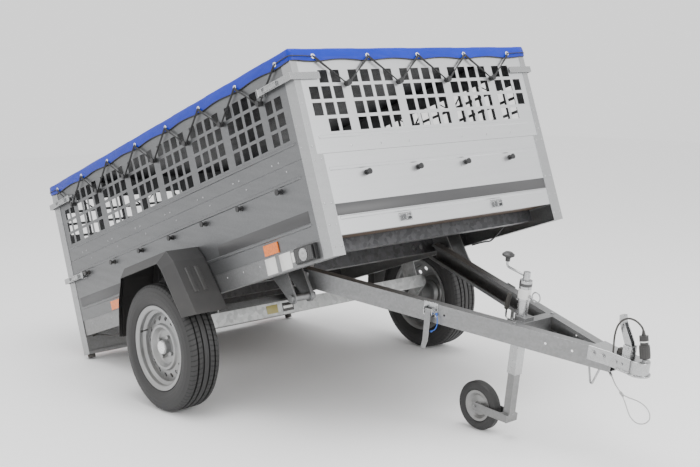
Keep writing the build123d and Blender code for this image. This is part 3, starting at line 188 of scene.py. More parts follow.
def makeEdgeWear():
    # rounds hard edges in the shading and marks them as worn
    tree, given, out = newGroup("edgeWear", [("Radius", 0.0015)],
                                [("Normal", "NodeSocketVector"), ("Mask", "NodeSocketFloat")])
    soft = addNode(tree, "ShaderNodeBevel", samples=4)
    tree.links.new(given.outputs["Radius"], soft.inputs["Radius"])
    surface = addNode(tree, "ShaderNodeNewGeometry")
    facing = addNode(tree, "ShaderNodeVectorMath", operation="DOT_PRODUCT")
    tree.links.new(soft.outputs[0], facing.inputs[0])
    tree.links.new(surface.outputs["Normal"], facing.inputs[1])
    turned = mathNode(tree, "SUBTRACT", 1.0, facing.outputs["Value"])
    tree.links.new(mathNode(tree, "MULTIPLY", turned, 3.5), out.inputs["Mask"])
    tree.links.new(soft.outputs[0], out.inputs["Normal"])
    return tree


def makeWeave():
    # crossed threads under a coating
    tree, given, out = newGroup("clothWeave", [("Scale", 260.0)], [("Height", "NodeSocketFloat")])
    place = addNode(tree, "ShaderNodeTexCoord").outputs["Object"]
    threads = []
    for direction in ("X", "Y"):
        wave = addNode(tree, "ShaderNodeTexWave", bands_direction=direction)
        wave.inputs["Distortion"].default_value = 0.4
        tree.links.new(given.outputs["Scale"], wave.inputs["Scale"])
        tree.links.new(place, wave.inputs["Vector"])
        threads.append(wave.outputs["Fac"])
    tree.links.new(mathNode(tree, "MAXIMUM", threads[0], threads[1]), out.inputs["Height"])
    return tree


groups = {"spangle": makeSpangle(), "grain": makeGrain(), "dust": makeRoadDust(),
          "edge": makeEdgeWear(), "weave": makeWeave()}


def useGroup(tree, key, **values):
    made = addNode(tree, "ShaderNodeGroup", node_tree=groups[key])
    for label, value in values.items():
        made.inputs[label].default_value = value
    return made


def newMaterial(name, look):
    material = bpy.data.materials.new(name)
    material.use_nodes = True
    shader = material.node_tree.nodes["Principled BSDF"]
    shader.inputs["Metallic"].default_value = look.get("metal", 0.0)
    shader.inputs["Roughness"].default_value = look.get("rough", 0.5)
    shader.inputs["Coat Weight"].default_value = look.get("coat", 0.0)
    shader.inputs["Specular IOR Level"].default_value = look.get("gloss", 0.5)
    return material, material.node_tree, shader


def mixColours(tree, factor, first, second):
    mix = addNode(tree, "ShaderNodeMix", data_type="RGBA")
    if isinstance(factor, (int, float)):
        mix.inputs["Factor"].default_value = factor
    else:
        tree.links.new(factor, mix.inputs["Factor"])
    for index, colour in ((6, first), (7, second)):
        if isinstance(colour, tuple):
            mix.inputs[index].default_value = (*colour, 1.0)
        else:
            tree.links.new(colour, mix.inputs[index])
    return mix.outputs[2]


def spread(tree, value, low, high):
    made = addNode(tree, "ShaderNodeMapRange")
    made.inputs["To Min"].default_value = low
    made.inputs["To Max"].default_value = high
    tree.links.new(value, made.inputs["Value"])
    return made.outputs[0]


def addBump(tree, shader, height, depth, strength, normal=None):
    bump = addNode(tree, "ShaderNodeBump")
    bump.inputs["Distance"].default_value = depth
    bump.inputs["Strength"].default_value = strength
    tree.links.new(height, bump.inputs["Height"])
    if normal is not None:
        tree.links.new(normal, bump.inputs["Normal"])
    tree.links.new(bump.outputs[0], shader.inputs["Normal"])


def zincFinish(name, look):
    material, tree, shader = newMaterial(name, look)
    crystals = useGroup(tree, "spangle", Scale=look["crystals"], Streak=look["streak"])
    edge = useGroup(tree, "edge", Radius=look.get("edge", 0.0012))
    dust = useGroup(tree, "dust", Top=0.7, Amount=look.get("dust", 0.5))
    base = mixColours(tree, crystals.outputs["Shade"], look["dark"], look["light"])
    worn = mixColours(tree, edge.outputs["Mask"], base, look["bright"])
    dusty = mixColours(tree, dust.outputs["Mask"], worn, (0.20, 0.18, 0.15))
    tree.links.new(dusty, shader.inputs["Base Color"])
    low, high = look["roughRange"]
    tree.links.new(spread(tree, crystals.outputs["Shade"], high, low), shader.inputs["Roughness"])
    addBump(tree, shader, crystals.outputs["Height"], 0.0006, look["relief"], edge.outputs["Normal"])
    return material


def mouldedFinish(name, look):
    material, tree, shader = newMaterial(name, look)
    grain = useGroup(tree, "grain", Scale=look["grain"])
    edge = useGroup(tree, "edge", Radius=look.get("edge", 0.0015))
    dust = useGroup(tree, "dust", Top=0.8, Amount=look.get("dust", 0.4))
    base = mixColours(tree, grain.outputs["Mottle"], look["dark"], look["light"])
    worn = mixColours(tree, edge.outputs["Mask"], base, look["worn"])
    tree.links.new(mixColours(tree, dust.outputs["Mask"], worn, (0.16, 0.145, 0.125)),
                   shader.inputs["Base Color"])
    low, high = look["roughRange"]
    tree.links.new(spread(tree, grain.outputs["Mottle"], low, high), shader.inputs["Roughness"])
    addBump(tree, shader, grain.outputs["Height"], 0.0005, look["relief"], edge.outputs["Normal"])
    return material


finishes = {
    # the side, rear and tailgate sheets and the front sheets are one galvanised zinc in two copies: the
    # sides are painted darker (painted shade), the front wall and front mesh lighter (painted light)
    "wallZincPaintedShade": zincFinish("wallZincPaintedShade", {
        "metal": 0.9, "crystals": 240.0, "streak": 0.75, "dark": (0.150, 0.153, 0.157),
        "light": (0.215, 0.219, 0.224), "bright": (0.50, 0.51, 0.52), "roughRange": (0.34, 0.48),
        "relief": 0.03, "edge": 0.0009, "dust": 0.25}),
    "frontZincPaintedLight": zincFinish("frontZincPaintedLight", {
        "metal": 0.9, "crystals": 240.0, "streak": 0.8, "dark": (0.60, 0.61, 0.62),
        "light": (0.74, 0.75, 0.76), "bright": (0.88, 0.88, 0.88), "roughRange": (0.26, 0.38),
        "relief": 0.03, "edge": 0.0009, "dust": 0.15}),
    "frameZinc": zincFinish("frameZinc", {
        "metal": 0.85, "crystals": 130.0, "streak": 0.55, "dark": (0.21, 0.213, 0.216),
        "light": (0.28, 0.283, 0.287), "bright": (0.56, 0.57, 0.58), "roughRange": (0.34, 0.5),
        "relief": 0.05, "dust": 0.35}),
    # the cross beams under the floor are painted near-black: painted shade under the box
    "underZincPaintedShade": zincFinish("underZincPaintedShade", {
        "metal": 0.8, "crystals": 60.0, "streak": 0.4, "dark": (0.045, 0.046, 0.048),
        "light": (0.10, 0.10, 0.105), "bright": (0.25, 0.25, 0.26), "roughRange": (0.4, 0.6),
        "relief": 0.08, "dust": 0.4}),
    "axleZinc": zincFinish("axleZinc", {
        "metal": 0.8, "crystals": 55.0, "streak": 0.3, "dark": (0.36, 0.37, 0.37),
        "light": (0.60, 0.61, 0.61), "bright": (0.72, 0.73, 0.74), "roughRange": (0.32, 0.5),
        "relief": 0.1, "dust": 0.5}),
    "postZinc": zincFinish("postZinc", {
        "metal": 0.85, "crystals": 200.0, "streak": 0.7, "dark": (0.34, 0.345, 0.35),
        "light": (0.44, 0.445, 0.45), "bright": (0.74, 0.75, 0.76), "roughRange": (0.32, 0.46),
        "relief": 0.03, "dust": 0.25}),
    "brightZinc": zincFinish("brightZinc", {
        "metal": 1.0, "crystals": 320.0, "streak": 0.5, "dark": (0.34, 0.345, 0.35),
        "light": (0.50, 0.505, 0.51), "bright": (0.88, 0.88, 0.88), "roughRange": (0.2, 0.32),
        "relief": 0.04, "dust": 0.3}),
    "wheelSilver": zincFinish("wheelSilver", {
        "metal": 0.6, "coat": 0.25, "crystals": 1400.0, "streak": 0.3, "dark": (0.27, 0.275, 0.28),
        "light": (0.34, 0.345, 0.35), "bright": (0.5, 0.51, 0.52), "roughRange": (0.32, 0.42),
        "relief": 0.02, "dust": 0.6}),
    "fenderPlastic": mouldedFinish("fenderPlastic", {
        "grain": 700.0, "dark": (0.020, 0.020, 0.021), "light": (0.030, 0.030, 0.031),
        "worn": (0.06, 0.06, 0.06), "roughRange": (0.42, 0.56), "relief": 0.25, "edge": 0.004}),
    "hookPlastic": mouldedFinish("hookPlastic", {
        "grain": 1200.0, "dark": (0.014, 0.014, 0.015), "light": (0.024, 0.024, 0.025),
        "worn": (0.06, 0.06, 0.06), "roughRange": (0.28, 0.42), "relief": 0.12}),
    "softRubber": mouldedFinish("softRubber", {
        "grain": 500.0, "dark": (0.012, 0.012, 0.012), "light": (0.026, 0.025, 0.024),
        "worn": (0.05, 0.05, 0.05), "roughRange": (0.6, 0.78), "relief": 0.3}),
    "cordSheath": mouldedFinish("cordSheath", {
        "grain": 1600.0, "dark": (0.010, 0.010, 0.011), "light": (0.022, 0.022, 0.023),
        "worn": (0.03, 0.03, 0.03), "roughRange": (0.5, 0.65), "relief": 0.5}),
    "plugPlastic": mouldedFinish("plugPlastic", {
        "grain": 1000.0, "dark": (0.012, 0.012, 0.013), "light": (0.02, 0.02, 0.021),
        "worn": (0.05, 0.05, 0.05), "roughRange": (0.25, 0.4), "relief": 0.15}),
    "stripeFilm": mouldedFinish("stripeFilm", {
        "grain": 300.0, "dark": (0.045, 0.045, 0.047), "light": (0.058, 0.058, 0.060),
        "worn": (0.09, 0.09, 0.09), "roughRange": (0.38, 0.46), "relief": 0.03, "dust": 0.1}),
    "labelFilm": mouldedFinish("labelFilm", {
        "grain": 400.0, "dark": (0.68, 0.68, 0.66), "light": (0.80, 0.80, 0.79),
        "worn": (0.7, 0.7, 0.69), "roughRange": (0.3, 0.4), "relief": 0.02, "dust": 0.3}),
    "khakiFilm": mouldedFinish("khakiFilm", {
        "grain": 400.0, "dark": (0.30, 0.26, 0.08), "light": (0.38, 0.33, 0.12),
        "worn": (0.3, 0.27, 0.12), "roughRange": (0.35, 0.45), "relief": 0.02, "dust": 0.3}),
    "plyBoard": mouldedFinish("plyBoard", {
        "grain": 160.0, "dark": (0.055, 0.035, 0.022), "light": (0.085, 0.055, 0.035),
        "worn": (0.16, 0.11, 0.07), "roughRange": (0.42, 0.6), "relief": 0.3}),
    "eyeletMetal": zincFinish("eyeletMetal", {
        "metal": 0.6, "crystals": 600.0, "streak": 0.2, "dark": (0.72, 0.72, 0.72),
        "light": (0.85, 0.85, 0.85), "bright": (0.95, 0.95, 0.95), "roughRange": (0.2, 0.3),
        "relief": 0.02, "dust": 0.1}),
}


def tarpFinish():
    look = {"rough": 0.36, "gloss": 0.3, "deep": (0.003, 0.018, 0.28), "clear": (0.005, 0.030, 0.46),
            "under": (0.006, 0.007, 0.012)}
    material, tree, shader = newMaterial("tarpBlue", look)
    weave = useGroup(tree, "weave", Scale=170.0)
    grain = useGroup(tree, "grain", Scale=90.0)
    facing = addNode(tree, "ShaderNodeNewGeometry")
    outside = mixColours(tree, grain.outputs["Mottle"], look["deep"], look["clear"])
    # back faces of the sheet are painted near-black: painted shade inside the hem and under the sheet
    tree.links.new(mixColours(tree, facing.outputs["Backfacing"], outside, look["under"]),
                   shader.inputs["Base Color"])
    tree.links.new(spread(tree, grain.outputs["Mottle"], 0.28, 0.46), shader.inputs["Roughness"])
    both = mathNode(tree, "ADD", weave.outputs["Height"], mathNode(tree, "MULTIPLY",
                    grain.outputs["Height"], 1.5))
    addBump(tree, shader, both, 0.0007, 0.25)
    return material


def ropeFinish(name, look):
    material, tree, shader = newMaterial(name, look)
    place = addNode(tree, "ShaderNodeTexCoord").outputs["Object"]
    lay = addNode(tree, "ShaderNodeTexWave", bands_direction="DIAGONAL")
    lay.inputs["Scale"].default_value = look["lay"]
    lay.inputs["Distortion"].default_value = 1.0
    tree.links.new(place, lay.inputs["Vector"])
    # colour follows the lay, darker in the grooves between strands than on the strands: painted shade in
    # the grooves
    tree.links.new(mixColours(tree, lay.outputs["Fac"], look["dark"], look["light"]),
                   shader.inputs["Base Color"])
    addBump(tree, shader, lay.outputs["Fac"], 0.0006, look["relief"])
    return material


def lensFinish():
    # clear at the front, amber along the sides, red at the rear
    look = {"rough": 0.14, "coat": 0.3, "clear": (0.012, 0.012, 0.013), "amber": (0.92, 0.20, 0.004),
            "red": (0.50, 0.012, 0.012)}
    material, tree, shader = newMaterial("lampLens", look)
    place = addNode(tree, "ShaderNodeTexCoord").outputs["Object"]
    along = addNode(tree, "ShaderNodeVectorMath", operation="DOT_PRODUCT")
    tree.links.new(place, along.inputs[0])
    along.inputs[1].default_value = (math.cos(pose["tip"]), 0.0, math.sin(pose["tip"]))
    shift = (pose["originX"] * math.cos(pose["tip"]) - pose["axleHeight"] * math.sin(pose["tip"])) / 1000
    boxX = mathNode(tree, "ADD", along.outputs["Value"], shift)
    atFront = mathNode(tree, "GREATER_THAN", boxX, 0.80)
    atRear = mathNode(tree, "LESS_THAN", boxX, -1.0)
    rearOrSide = mixColours(tree, atRear, look["amber"], look["red"])
    tint = mixColours(tree, atFront, rearOrSide, look["clear"])
    ribs = addNode(tree, "ShaderNodeTexWave", bands_direction="X")
    ribs.inputs["Scale"].default_value = 28.0
    tree.links.new(place, ribs.inputs["Vector"])
    prisms = addNode(tree, "ShaderNodeTexVoronoi", distance="CHEBYCHEV")
    prisms.inputs["Scale"].default_value = 170.0
    tree.links.new(place, prisms.inputs["Vector"])
    depth = spread(tree, prisms.outputs["Distance"], 0.0, 0.5)
    shaded = mixColours(tree, depth, tint, (0.02, 0.02, 0.02))
    tree.links.new(shaded, shader.inputs["Base Color"])
    relief = mathNode(tree, "ADD", ribs.outputs["Fac"], prisms.outputs["Distance"])
    addBump(tree, shader, relief, 0.001, 0.4)
    return material


def tyreFinish(name, look):
    # tread sipes and sidewall rings worked out around the wheel's own axle
    material, tree, shader = newMaterial(name, look)
    place = addNode(tree, "ShaderNodeTexCoord").outputs["Object"]
    fromHub = addNode(tree, "ShaderNodeVectorMath", operation="SUBTRACT")
    tree.links.new(place, fromHub.inputs[0])
    fromHub.inputs[1].default_value = look["hub"]
    axes = addNode(tree, "ShaderNodeSeparateXYZ")
    tree.links.new(fromHub.outputs[0], axes.inputs[0])
    x, y, z = axes.outputs
    squares = mathNode(tree, "ADD", mathNode(tree, "MULTIPLY", x, x), mathNode(tree, "MULTIPLY", z, z))
    radius = mathNode(tree, "SQRT", squares)
    angle = mathNode(tree, "ARCTAN2", z, x)
    across = mathNode(tree, "ABSOLUTE", y)
    skewed = mathNode(tree, "ADD", mathNode(tree, "MULTIPLY", angle, look["sipes"]),
                      mathNode(tree, "MULTIPLY", across, look["skew"]))
    cut = mathNode(tree, "GREATER_THAN", mathNode(tree, "SINE", skewed), 0.62)
    onTread = mathNode(tree, "GREATER_THAN", radius, look["treadFrom"])
    offCentre = mathNode(tree, "GREATER_THAN", across, look["ribHalf"])
    sipe = mathNode(tree, "MULTIPLY", cut, mathNode(tree, "MULTIPLY", onTread, offCentre))
    rings = mathNode(tree, "SINE", mathNode(tree, "MULTIPLY", radius, look["rings"]))
    onWall = mathNode(tree, "LESS_THAN", radius, look["treadFrom"])
    wallRings = mathNode(tree, "MULTIPLY", mathNode(tree, "GREATER_THAN", rings, 0.8), onWall)
    grain = useGroup(tree, "grain", Scale=600.0)
    height = mathNode(tree, "ADD", mathNode(tree, "MULTIPLY", sipe, -1.0),
                      mathNode(tree, "ADD", mathNode(tree, "MULTIPLY", wallRings, 0.35),
                               mathNode(tree, "MULTIPLY", grain.outputs["Height"], 0.12)))
    base = mixColours(tree, grain.outputs["Mottle"], (0.016, 0.016, 0.017), (0.034, 0.033, 0.032))
    # the sipes are painted near-black over the rubber: painted shade in the grooves
    tree.links.new(mixColours(tree, sipe, base, (0.006, 0.006, 0.006)), shader.inputs["Base Color"])
    tree.links.new(spread(tree, grain.outputs["Mottle"], 0.5, 0.68), shader.inputs["Roughness"])
    addBump(tree, shader, height, 0.0022, 0.9)
    return material


finishes["tarpBlue"] = tarpFinish()
finishes["lampLens"] = lensFinish()
for name, look in (
        ("blueRope", {"rough": 0.6, "lay": 220.0, "dark": (0.01, 0.05, 0.28),
                      "light": (0.04, 0.16, 0.60), "relief": 0.6}),
        ("wireRope", {"rough": 0.32, "metal": 0.7, "lay": 260.0, "dark": (0.30, 0.30, 0.30),
                      "light": (0.62, 0.62, 0.61), "relief": 0.7}),
        ("laceRope", {"rough": 0.62, "lay": 240.0, "dark": (0.008, 0.008, 0.008),
                      "light": (0.035, 0.035, 0.036), "relief": 0.6})):
    finishes[name] = ropeFinish(name, look)
for side, hand in ((-1, "Right"), (1, "Left")):
    finishes["tyre" + hand] = tyreFinish("roadTyre" + hand, {
        "hub": onBox(0, side * trailer["wheelPlane"], pose["axleHeight"]), "sipes": 78.0, "skew": 60.0,
        "treadFrom": 0.259, "ribHalf": 0.019, "rings": 420.0})
jockeyHub = onBar(644, -45, -318.7)
finishes["jockeyTyre"] = tyreFinish("jockeyTyre", {
    "hub": (jockeyHub.x, jockeyHub.y, jockeyHub.z), "sipes": 3.0, "skew": 0.0, "treadFrom": 1.0,
    "ribHalf": 1.0, "rings": 380.0})
print("finishes made")

wearing = {
    # side, rear and tailgate sheets take the darker zinc copy (painted shade), the front sheets the lighter
    # copy (painted light)
    "wallZincPaintedShade": ["side_wall_right", "side_wall_left", "mesh_side_right", "mesh_side_left", "mesh_rear",
                 "tailgate"],
    "frontZincPaintedLight": ["front_wall", "mesh_front"],
    "postZinc": ["corner_posts"],
    # the cross beams take the near-black zinc copy: painted shade under the box
    "underZincPaintedShade": ["cross_beams"],
    "axleZinc": ["axle", "swing_arm_right", "swing_arm_left"],
    "frameZinc": ["side_rails", "rear_light_beam", "hinge_brackets", "drawbar_arm_right",
                  "drawbar_arm_left", "arm_hinge_plates", "cross_plate", "jockey_leg",
                  "lock_lever_right", "lock_lever_left"],
    "brightZinc": ["latch_bases", "front_right_latch", "rear_right_latch", "gate_right_latch",
                   "front_left_latch", "rear_left_latch", "gate_left_latch", "coupler_body",
                   "coupler_handle", "drawbar_bolts", "drawbar_fittings", "jockey_tube", "crank",
                   "clamp_lever", "ring_pin"],
    "wheelSilver": ["rim_right", "rim_left", "jockey_rim"],
    "tyreRight": ["tyre_right"], "tyreLeft": ["tyre_left"], "jockeyTyre": ["jockey_tyre"],
    "fenderPlastic": ["fender_right", "fender_left", "lamp_housings"],
    "hookPlastic": ["rope_hooks", "crank_knob"],
    "plugPlastic": ["plug"],
    "softRubber": ["rear_feet", "coupler_boot"],
    "cordSheath": ["wiring_harness", "plug_cable", "shock_cord"],
    "plyBoard": ["floor_panel"],
    "lampLens": ["lamp_lenses"],
    "tarpBlue": ["tarpaulin"],
    "wireRope": ["safety_cable"],
    "blueRope": ["lanyard"],
}
for finish, names in wearing.items():
    for name in names:
        for place in nodes[name].material_slots:
            place.material = finishes[finish]
        if not nodes[name].material_slots:
            nodes[name].data.materials.append(finishes[finish])


def settle(obj, material, body):
    obj.data.materials.append(finishes[material])
    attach(obj, body)
    return obj


def fromMesh(name, bm, matrix, material, body, smooth=40.0):
    bm.transform(Matrix.Scale(0.001, 4))
    bmesh.ops.recalc_face_normals(bm, faces=bm.faces)
    mesh = bpy.data.meshes.new(name)
    bm.to_mesh(mesh)
    bm.free()
    obj = bpy.data.objects.new(name, mesh)
    bpy.context.scene.collection.objects.link(obj)
    for polygon in mesh.polygons:
        polygon.use_smooth = smooth > 0
    if 0 < smooth < 180:
        mesh.set_sharp_from_angle(angle=math.radians(smooth))
    obj.matrix_world = matrix
    return settle(obj, material, body)


def middleOf(curveObject):
    # points down the middle of a round cord, in the row frame
    bevel = curveObject.data.bevel_depth
    curveObject.data.bevel_depth = 0.0
    line = bpy.data.meshes.new_from_object(curveObject)
    curveObject.data.bevel_depth = bevel
    return [curveObject.matrix_world @ v.co for v in line.vertices]


def fromPoints(name, lines, matrix, radius, material, body, cyclic=False):
    # round cord through control points, one spline a line, made into a mesh
    curve = bpy.data.curves.new(name, "CURVE")
    curve.dimensions = "3D"
    curve.bevel_depth = radius / 1000
    curve.bevel_resolution = 4
    curve.resolution_u = 10
    curve.use_fill_caps = True
    for points in lines:
        spline = curve.splines.new("NURBS")
        spline.points.add(len(points) - 1)
        for spot, point in zip(spline.points, points):
            spot.co = (point[0] / 1000, point[1] / 1000, point[2] / 1000, 1.0)
        spline.order_u = 3
        spline.use_endpoint_u = not cyclic
        spline.use_cyclic_u = cyclic
    drawn = bpy.data.objects.new(name, curve)
    bpy.context.scene.collection.objects.link(drawn)
    drawn.matrix_world = matrix
    middleOf(drawn)
    mesh = bpy.data.meshes.new_from_object(drawn)
    bpy.data.objects.remove(drawn)
    bpy.data.curves.remove(curve)
    mesh.name = name
    obj = bpy.data.objects.new(name, mesh)
    bpy.context.scene.collection.objects.link(obj)
    obj.matrix_world = matrix
    return settle(obj, material, body)


def addBlock(bm, matrix, offset, segments=2, profile=0.5):
    # unit cube under a matrix, its edges rounded
    made = bmesh.ops.create_cube(bm, size=1.0, matrix=matrix)
    edges = {e for v in made["verts"] for e in v.link_edges}
    bmesh.ops.bevel(bm, geom=list(edges), offset=offset, segments=segments, affect="EDGES",
                    profile=profile)


def addPlate(bm, centre, size, offset=1.0):
    addBlock(bm, Matrix.Translation(centre) @ Matrix.Diagonal((*size, 1.0)), offset, profile=0.6)


def addLathe(bm, profile, place, steps=28, closed=False):
    # profile of (radius, height) turned about the place's own Z
    rings = []
    for radius, height in profile:
        turns = (2 * math.pi * k / steps for k in range(steps))
        rings.append([bm.verts.new(place @ Vector((radius * math.cos(a), radius * math.sin(a), height)))
                      for a in turns])
    pairs = list(zip(rings, rings[1:])) + ([(rings[-1], rings[0])] if closed else [])
    for low, high in pairs:
        for k in range(steps):
            bm.faces.new((low[k], low[(k + 1) % steps], high[(k + 1) % steps], high[k]))
    if not closed:
        bm.faces.new(list(reversed(rings[0])))
        bm.faces.new(rings[-1])


def pointing(centre, outward, around=(0, 0, 1)):
    # frame at centre whose Z is outward
    z = Vector(outward).normalized()
    hint = Vector(around) if abs(z.dot(Vector(around))) < 0.9 else Vector((1, 0, 0))
    x = hint.cross(z).normalized()
    y = z.cross(x)
    turn = Matrix([[x[r], y[r], z[r]] for r in range(3)]).to_4x4()
    return Matrix.Translation(centre) @ turn


# free cords on the drawbar: the plug's cable, the safety cable and the lock lanyard
armTop, armBottom = 93.0, 17.0
plugFoot = Vector((1316, 0, armTop + 16.8))
plugWay = (Vector((1296, 0, 188)) - plugFoot).normalized()
plugCable = {"diameter": 7.0, "route": [
    (1202, -26, armTop + 4.4), (1201, -27, 120), (1200, -29, 146), (1201, -30, 174), (1207, -30, 202),
    (1222, -29, 226), (1246, -26, 240), (1272, -19, 236), (1290, -8, 218),
    tuple(plugFoot + plugWay * 96), tuple(plugFoot + plugWay * 80.2)]}
safetyCable = {"diameter": 4.0, "route": [
    (1184, -4, armBottom - 2.3), (1204, -13, 4), (1226, -26, -10), (1250, -34, -22), (1272, -37, -34),
    (1300, -37, -36), (1332, -34, -34), (1362, -29, -42), (1384, -25, -62), (1386, -22, -90),
    (1368, -22, -112), (1340, -27, -120), (1314, -31, -106), (1298, -32, -82), (1284, -32, -58),
    (1270, -31, -42)]}
splay = math.radians(17.02)
lanyardStart = Vector((526 + 5 * math.sin(splay),
                       -(384.4 - 526 * math.tan(splay) + 5 * math.cos(splay)), armTop - 36))
lanyard = {"diameter": 4.0, "route": [
    tuple(lanyardStart + Vector(p)) for p in ((0, 0, 0), (9, -3, -8), (15, -5, -22), (16, -6, -38),
                                              (12, -6, -54), (2, -5, -66), (-13, -3, -75))]}


def makeCord(name, look, material, slotName, **facts):
    cord = fromPoints(name, [look["route"]], barMatrix, look["diameter"] / 2, material, "drawbar")
    return cord


def makeFerrules():
    # pressed sleeve and thimble of the safety cable, a knot on the lanyard
    look = {"sleeve": [(2.6, -11), (4.6, -10), (5.0, 0), (4.6, 10), (2.6, 11)],
            "knot": [(1.5, -5), (4.0, -3.4), (4.8, 0), (4.0, 3.4), (1.5, 5)]}
    bm = bmesh.new()
    addLathe(bm, look["sleeve"], pointing((1268, -34, -35), (-22, 1, 13)), 16)
    addLathe(bm, look["sleeve"], pointing((1192, -7.5, 9.5), (-20, 9, 11)), 16)
    sleeve = fromMesh("cableSleeves", bm, barMatrix, "brightZinc", "drawbar")
    bm = bmesh.new()
    addLathe(bm, look["knot"], pointing(lanyardStart + Vector((-13, -3, -75)), (-15, 2, -9)), 16)
    addLathe(bm, look["knot"], pointing(lanyardStart + Vector((1, 0, -1)), (9, -3, -8)), 16)
    knots = fromMesh("lanyardKnots", bm, barMatrix, "blueRope", "drawbar")
    return sleeve, knots


sleeves, knots = makeFerrules()
plugLead = makeCord("plugLead", plugCable, "cordSheath", "black_cord", far_end="plug", stiffness="medium",
                    lay="hanging", with_pieces=[nodes["plug"]])
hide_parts("plug_cable")
breakCable = makeCord("breakCable", safetyCable, "wireRope", "steel_cable", far_end="fitting",
                      stiffness="stiff", lay="hanging", with_pieces=[sleeves])
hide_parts("safety_cable")
lockLanyard = makeCord("lockLanyard", lanyard, "blueRope", "blue_cord", far_end="knot", stiffness="limp",
                       lay="hanging", with_pieces=[knots])
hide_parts("lanyard")


def makePlugDetail():
    # grip ribs, the pale ring and the strain relief
    look = {"ribs": 14, "ribSize": (1.6, 2.6, 34), "ribOut": 18.3, "ribUp": 23,
            "relief": [(7.5, 79), (7.0, 84), (5.6, 90), (4.8, 97), (3.6, 98)],
            "ring": [(14.6, 57), (16.4, 57.4), (16.8, 59.5), (16.4, 61.6), (14.6, 62)]}
    stance = pointing(plugFoot, plugWay)
    bm = bmesh.new()
    for k in range(look["ribs"]):
        turned = stance @ Matrix.Rotation(2 * math.pi * k / look["ribs"], 4, "Z")
        spot = turned @ Matrix.Translation((look["ribOut"], 0, look["ribUp"]))
        addBlock(bm, spot @ Matrix.Diagonal((*look["ribSize"], 1)), 0.6)
    addLathe(bm, look["relief"], stance, 24)
    fromMesh("plugGrip", bm, barMatrix, "plugPlastic", "drawbar")
    bm = bmesh.new()
    addLathe(bm, look["ring"], stance, 36, closed=True)
    fromMesh("plugRing", bm, barMatrix, "labelFilm", "drawbar")


makePlugDetail()
print("cords made")


# the tarpaulin is one laid sheet with a roped hem, pulled down at its eyelets
tarp = {"hem": 50.0, "roll": 7.0, "top": 1225.3, "stand": 3.4, "sidePitch": 278.0, "endPitch": 272.0,
        "across": 84, "along": 132, "pull": 3.2, "pullFade": 60, "belly": 2.6, "calmEdge": 90,
        "broad": 3.0, "ripple": 1.5, "crease": 0.7, "creaseFade": 70, "cornerIn": 0.86}
sideEyelets = [tarp["sidePitch"] * (n + 0.5) for n in range(-4, 4)]
endEyelets = [-545.0, -272.0, 0.0, 272.0, 545.0]


def eyeletPull(x, y, onSide):
    # 1 at an eyelet, -1 halfway between two
    if onSide:
        return -math.cos(2 * math.pi * x / tarp["sidePitch"])
    return math.cos(2 * math.pi * y / tarp["endPitch"])


def makeTarp():
    reachX = trailer["halfLength"] + tarp["stand"] - tarp["roll"]
    reachY = trailer["halfWidth"] + tarp["stand"] - tarp["roll"]
    nx, ny = tarp["along"], tarp["across"]
    bm = bmesh.new()
    grid = []
    for i in range(nx + 1):
        column = []
        for j in range(ny + 1):
            x, y = reachX * (2 * i / nx - 1), reachY * (2 * j / ny - 1)
            fromSide, fromEnd = reachY - abs(y), reachX - abs(x)
            fromEdge = min(fromSide, fromEnd)
            pulls = ((eyeletPull(x, y, True), fromSide), (eyeletPull(x, y, False), fromEnd))
            lift = -sum(tarp["pull"] * 0.6 * max(0.0, pull) * math.exp(-away / tarp["pullFade"])
                        for pull, away in pulls)
            inside = min(1.0, fromEdge / tarp["calmEdge"])
            lift += inside * (tarp["broad"] * noise.noise(Vector((x / 240, y / 190, 3.0)))
                              + tarp["ripple"] * noise.noise(Vector((x / 70, y / 90, 8.0))))
            crease = tarp["crease"] * noise.noise(Vector((x / 22, y / 30, 1.0)))
            lift += crease * math.exp(-fromEdge / tarp["creaseFade"])
            if inside < 1:
                lift = max(lift, -1.2)
            column.append(bm.verts.new((x, y, tarp["top"] + lift)))
        grid.append(column)
    for i in range(nx):
        for j in range(ny):
            bm.faces.new((grid[i][j], grid[i + 1][j], grid[i + 1][j + 1], grid[i][j + 1]))
    border = ([(i, 0) for i in range(nx)] + [(nx, j) for j in range(ny)]
              + [(i, ny) for i in range(nx, 0, -1)] + [(0, j) for j in range(ny, 0, -1)])
    steps = [("roll", a) for a in (30, 60, 90)] + [("fall", f) for f in (0.2, 0.4, 0.6, 0.8, 0.93, 1.0)]
    last = [grid[i][j] for i, j in border]
    for kind, amount in steps:
        ring = []
        for i, j in border:
            foot = grid[i][j].co
            nX = (1 if i == nx else -1 if i == 0 else 0)
            nY = (1 if j == ny else -1 if j == 0 else 0)
            pull = eyeletPull(foot.x, foot.y, nY != 0)
            if kind == "roll":
                out = tarp["roll"] * math.sin(math.radians(amount))
                drop = tarp["roll"] * (1 - math.cos(math.radians(amount)))
            else:
                belly = tarp["belly"] * math.sin(math.pi * min(amount, 0.95))
                out = tarp["roll"] + belly * (0.6 - 0.4 * pull)
                out += 0.8 * noise.noise(Vector((foot.x / 35, foot.y / 35, amount * 2)))
                out = max(out, tarp["roll"] - 0.3)
                drop = tarp["roll"] + (tarp["hem"] - tarp["roll"] - 3.0 + tarp["pull"] * pull) * amount
            if nX and nY:
                out *= tarp["cornerIn"]
            ring.append(bm.verts.new((foot.x + nX * out, foot.y + nY * out, foot.z - drop)))
        count = len(ring)
        for k in range(count):
            bm.faces.new((last[k], last[(k + 1) % count], ring[(k + 1) % count], ring[k]))
        last = ring
    hemLine = [v.co.copy() for v in last]
    sheet = fromMesh("tarpSheet", bm, boxMatrix, "tarpBlue", "box", smooth=180)
    ropeLine = [(p.x * 1.0003, p.y * 1.0004, p.z - 0.6) for p in hemLine[::2]]
    rope = fromPoints("hemRope", [ropeLine], boxMatrix, 1.7, "laceRope", "box", cyclic=True)
    return sheet, rope


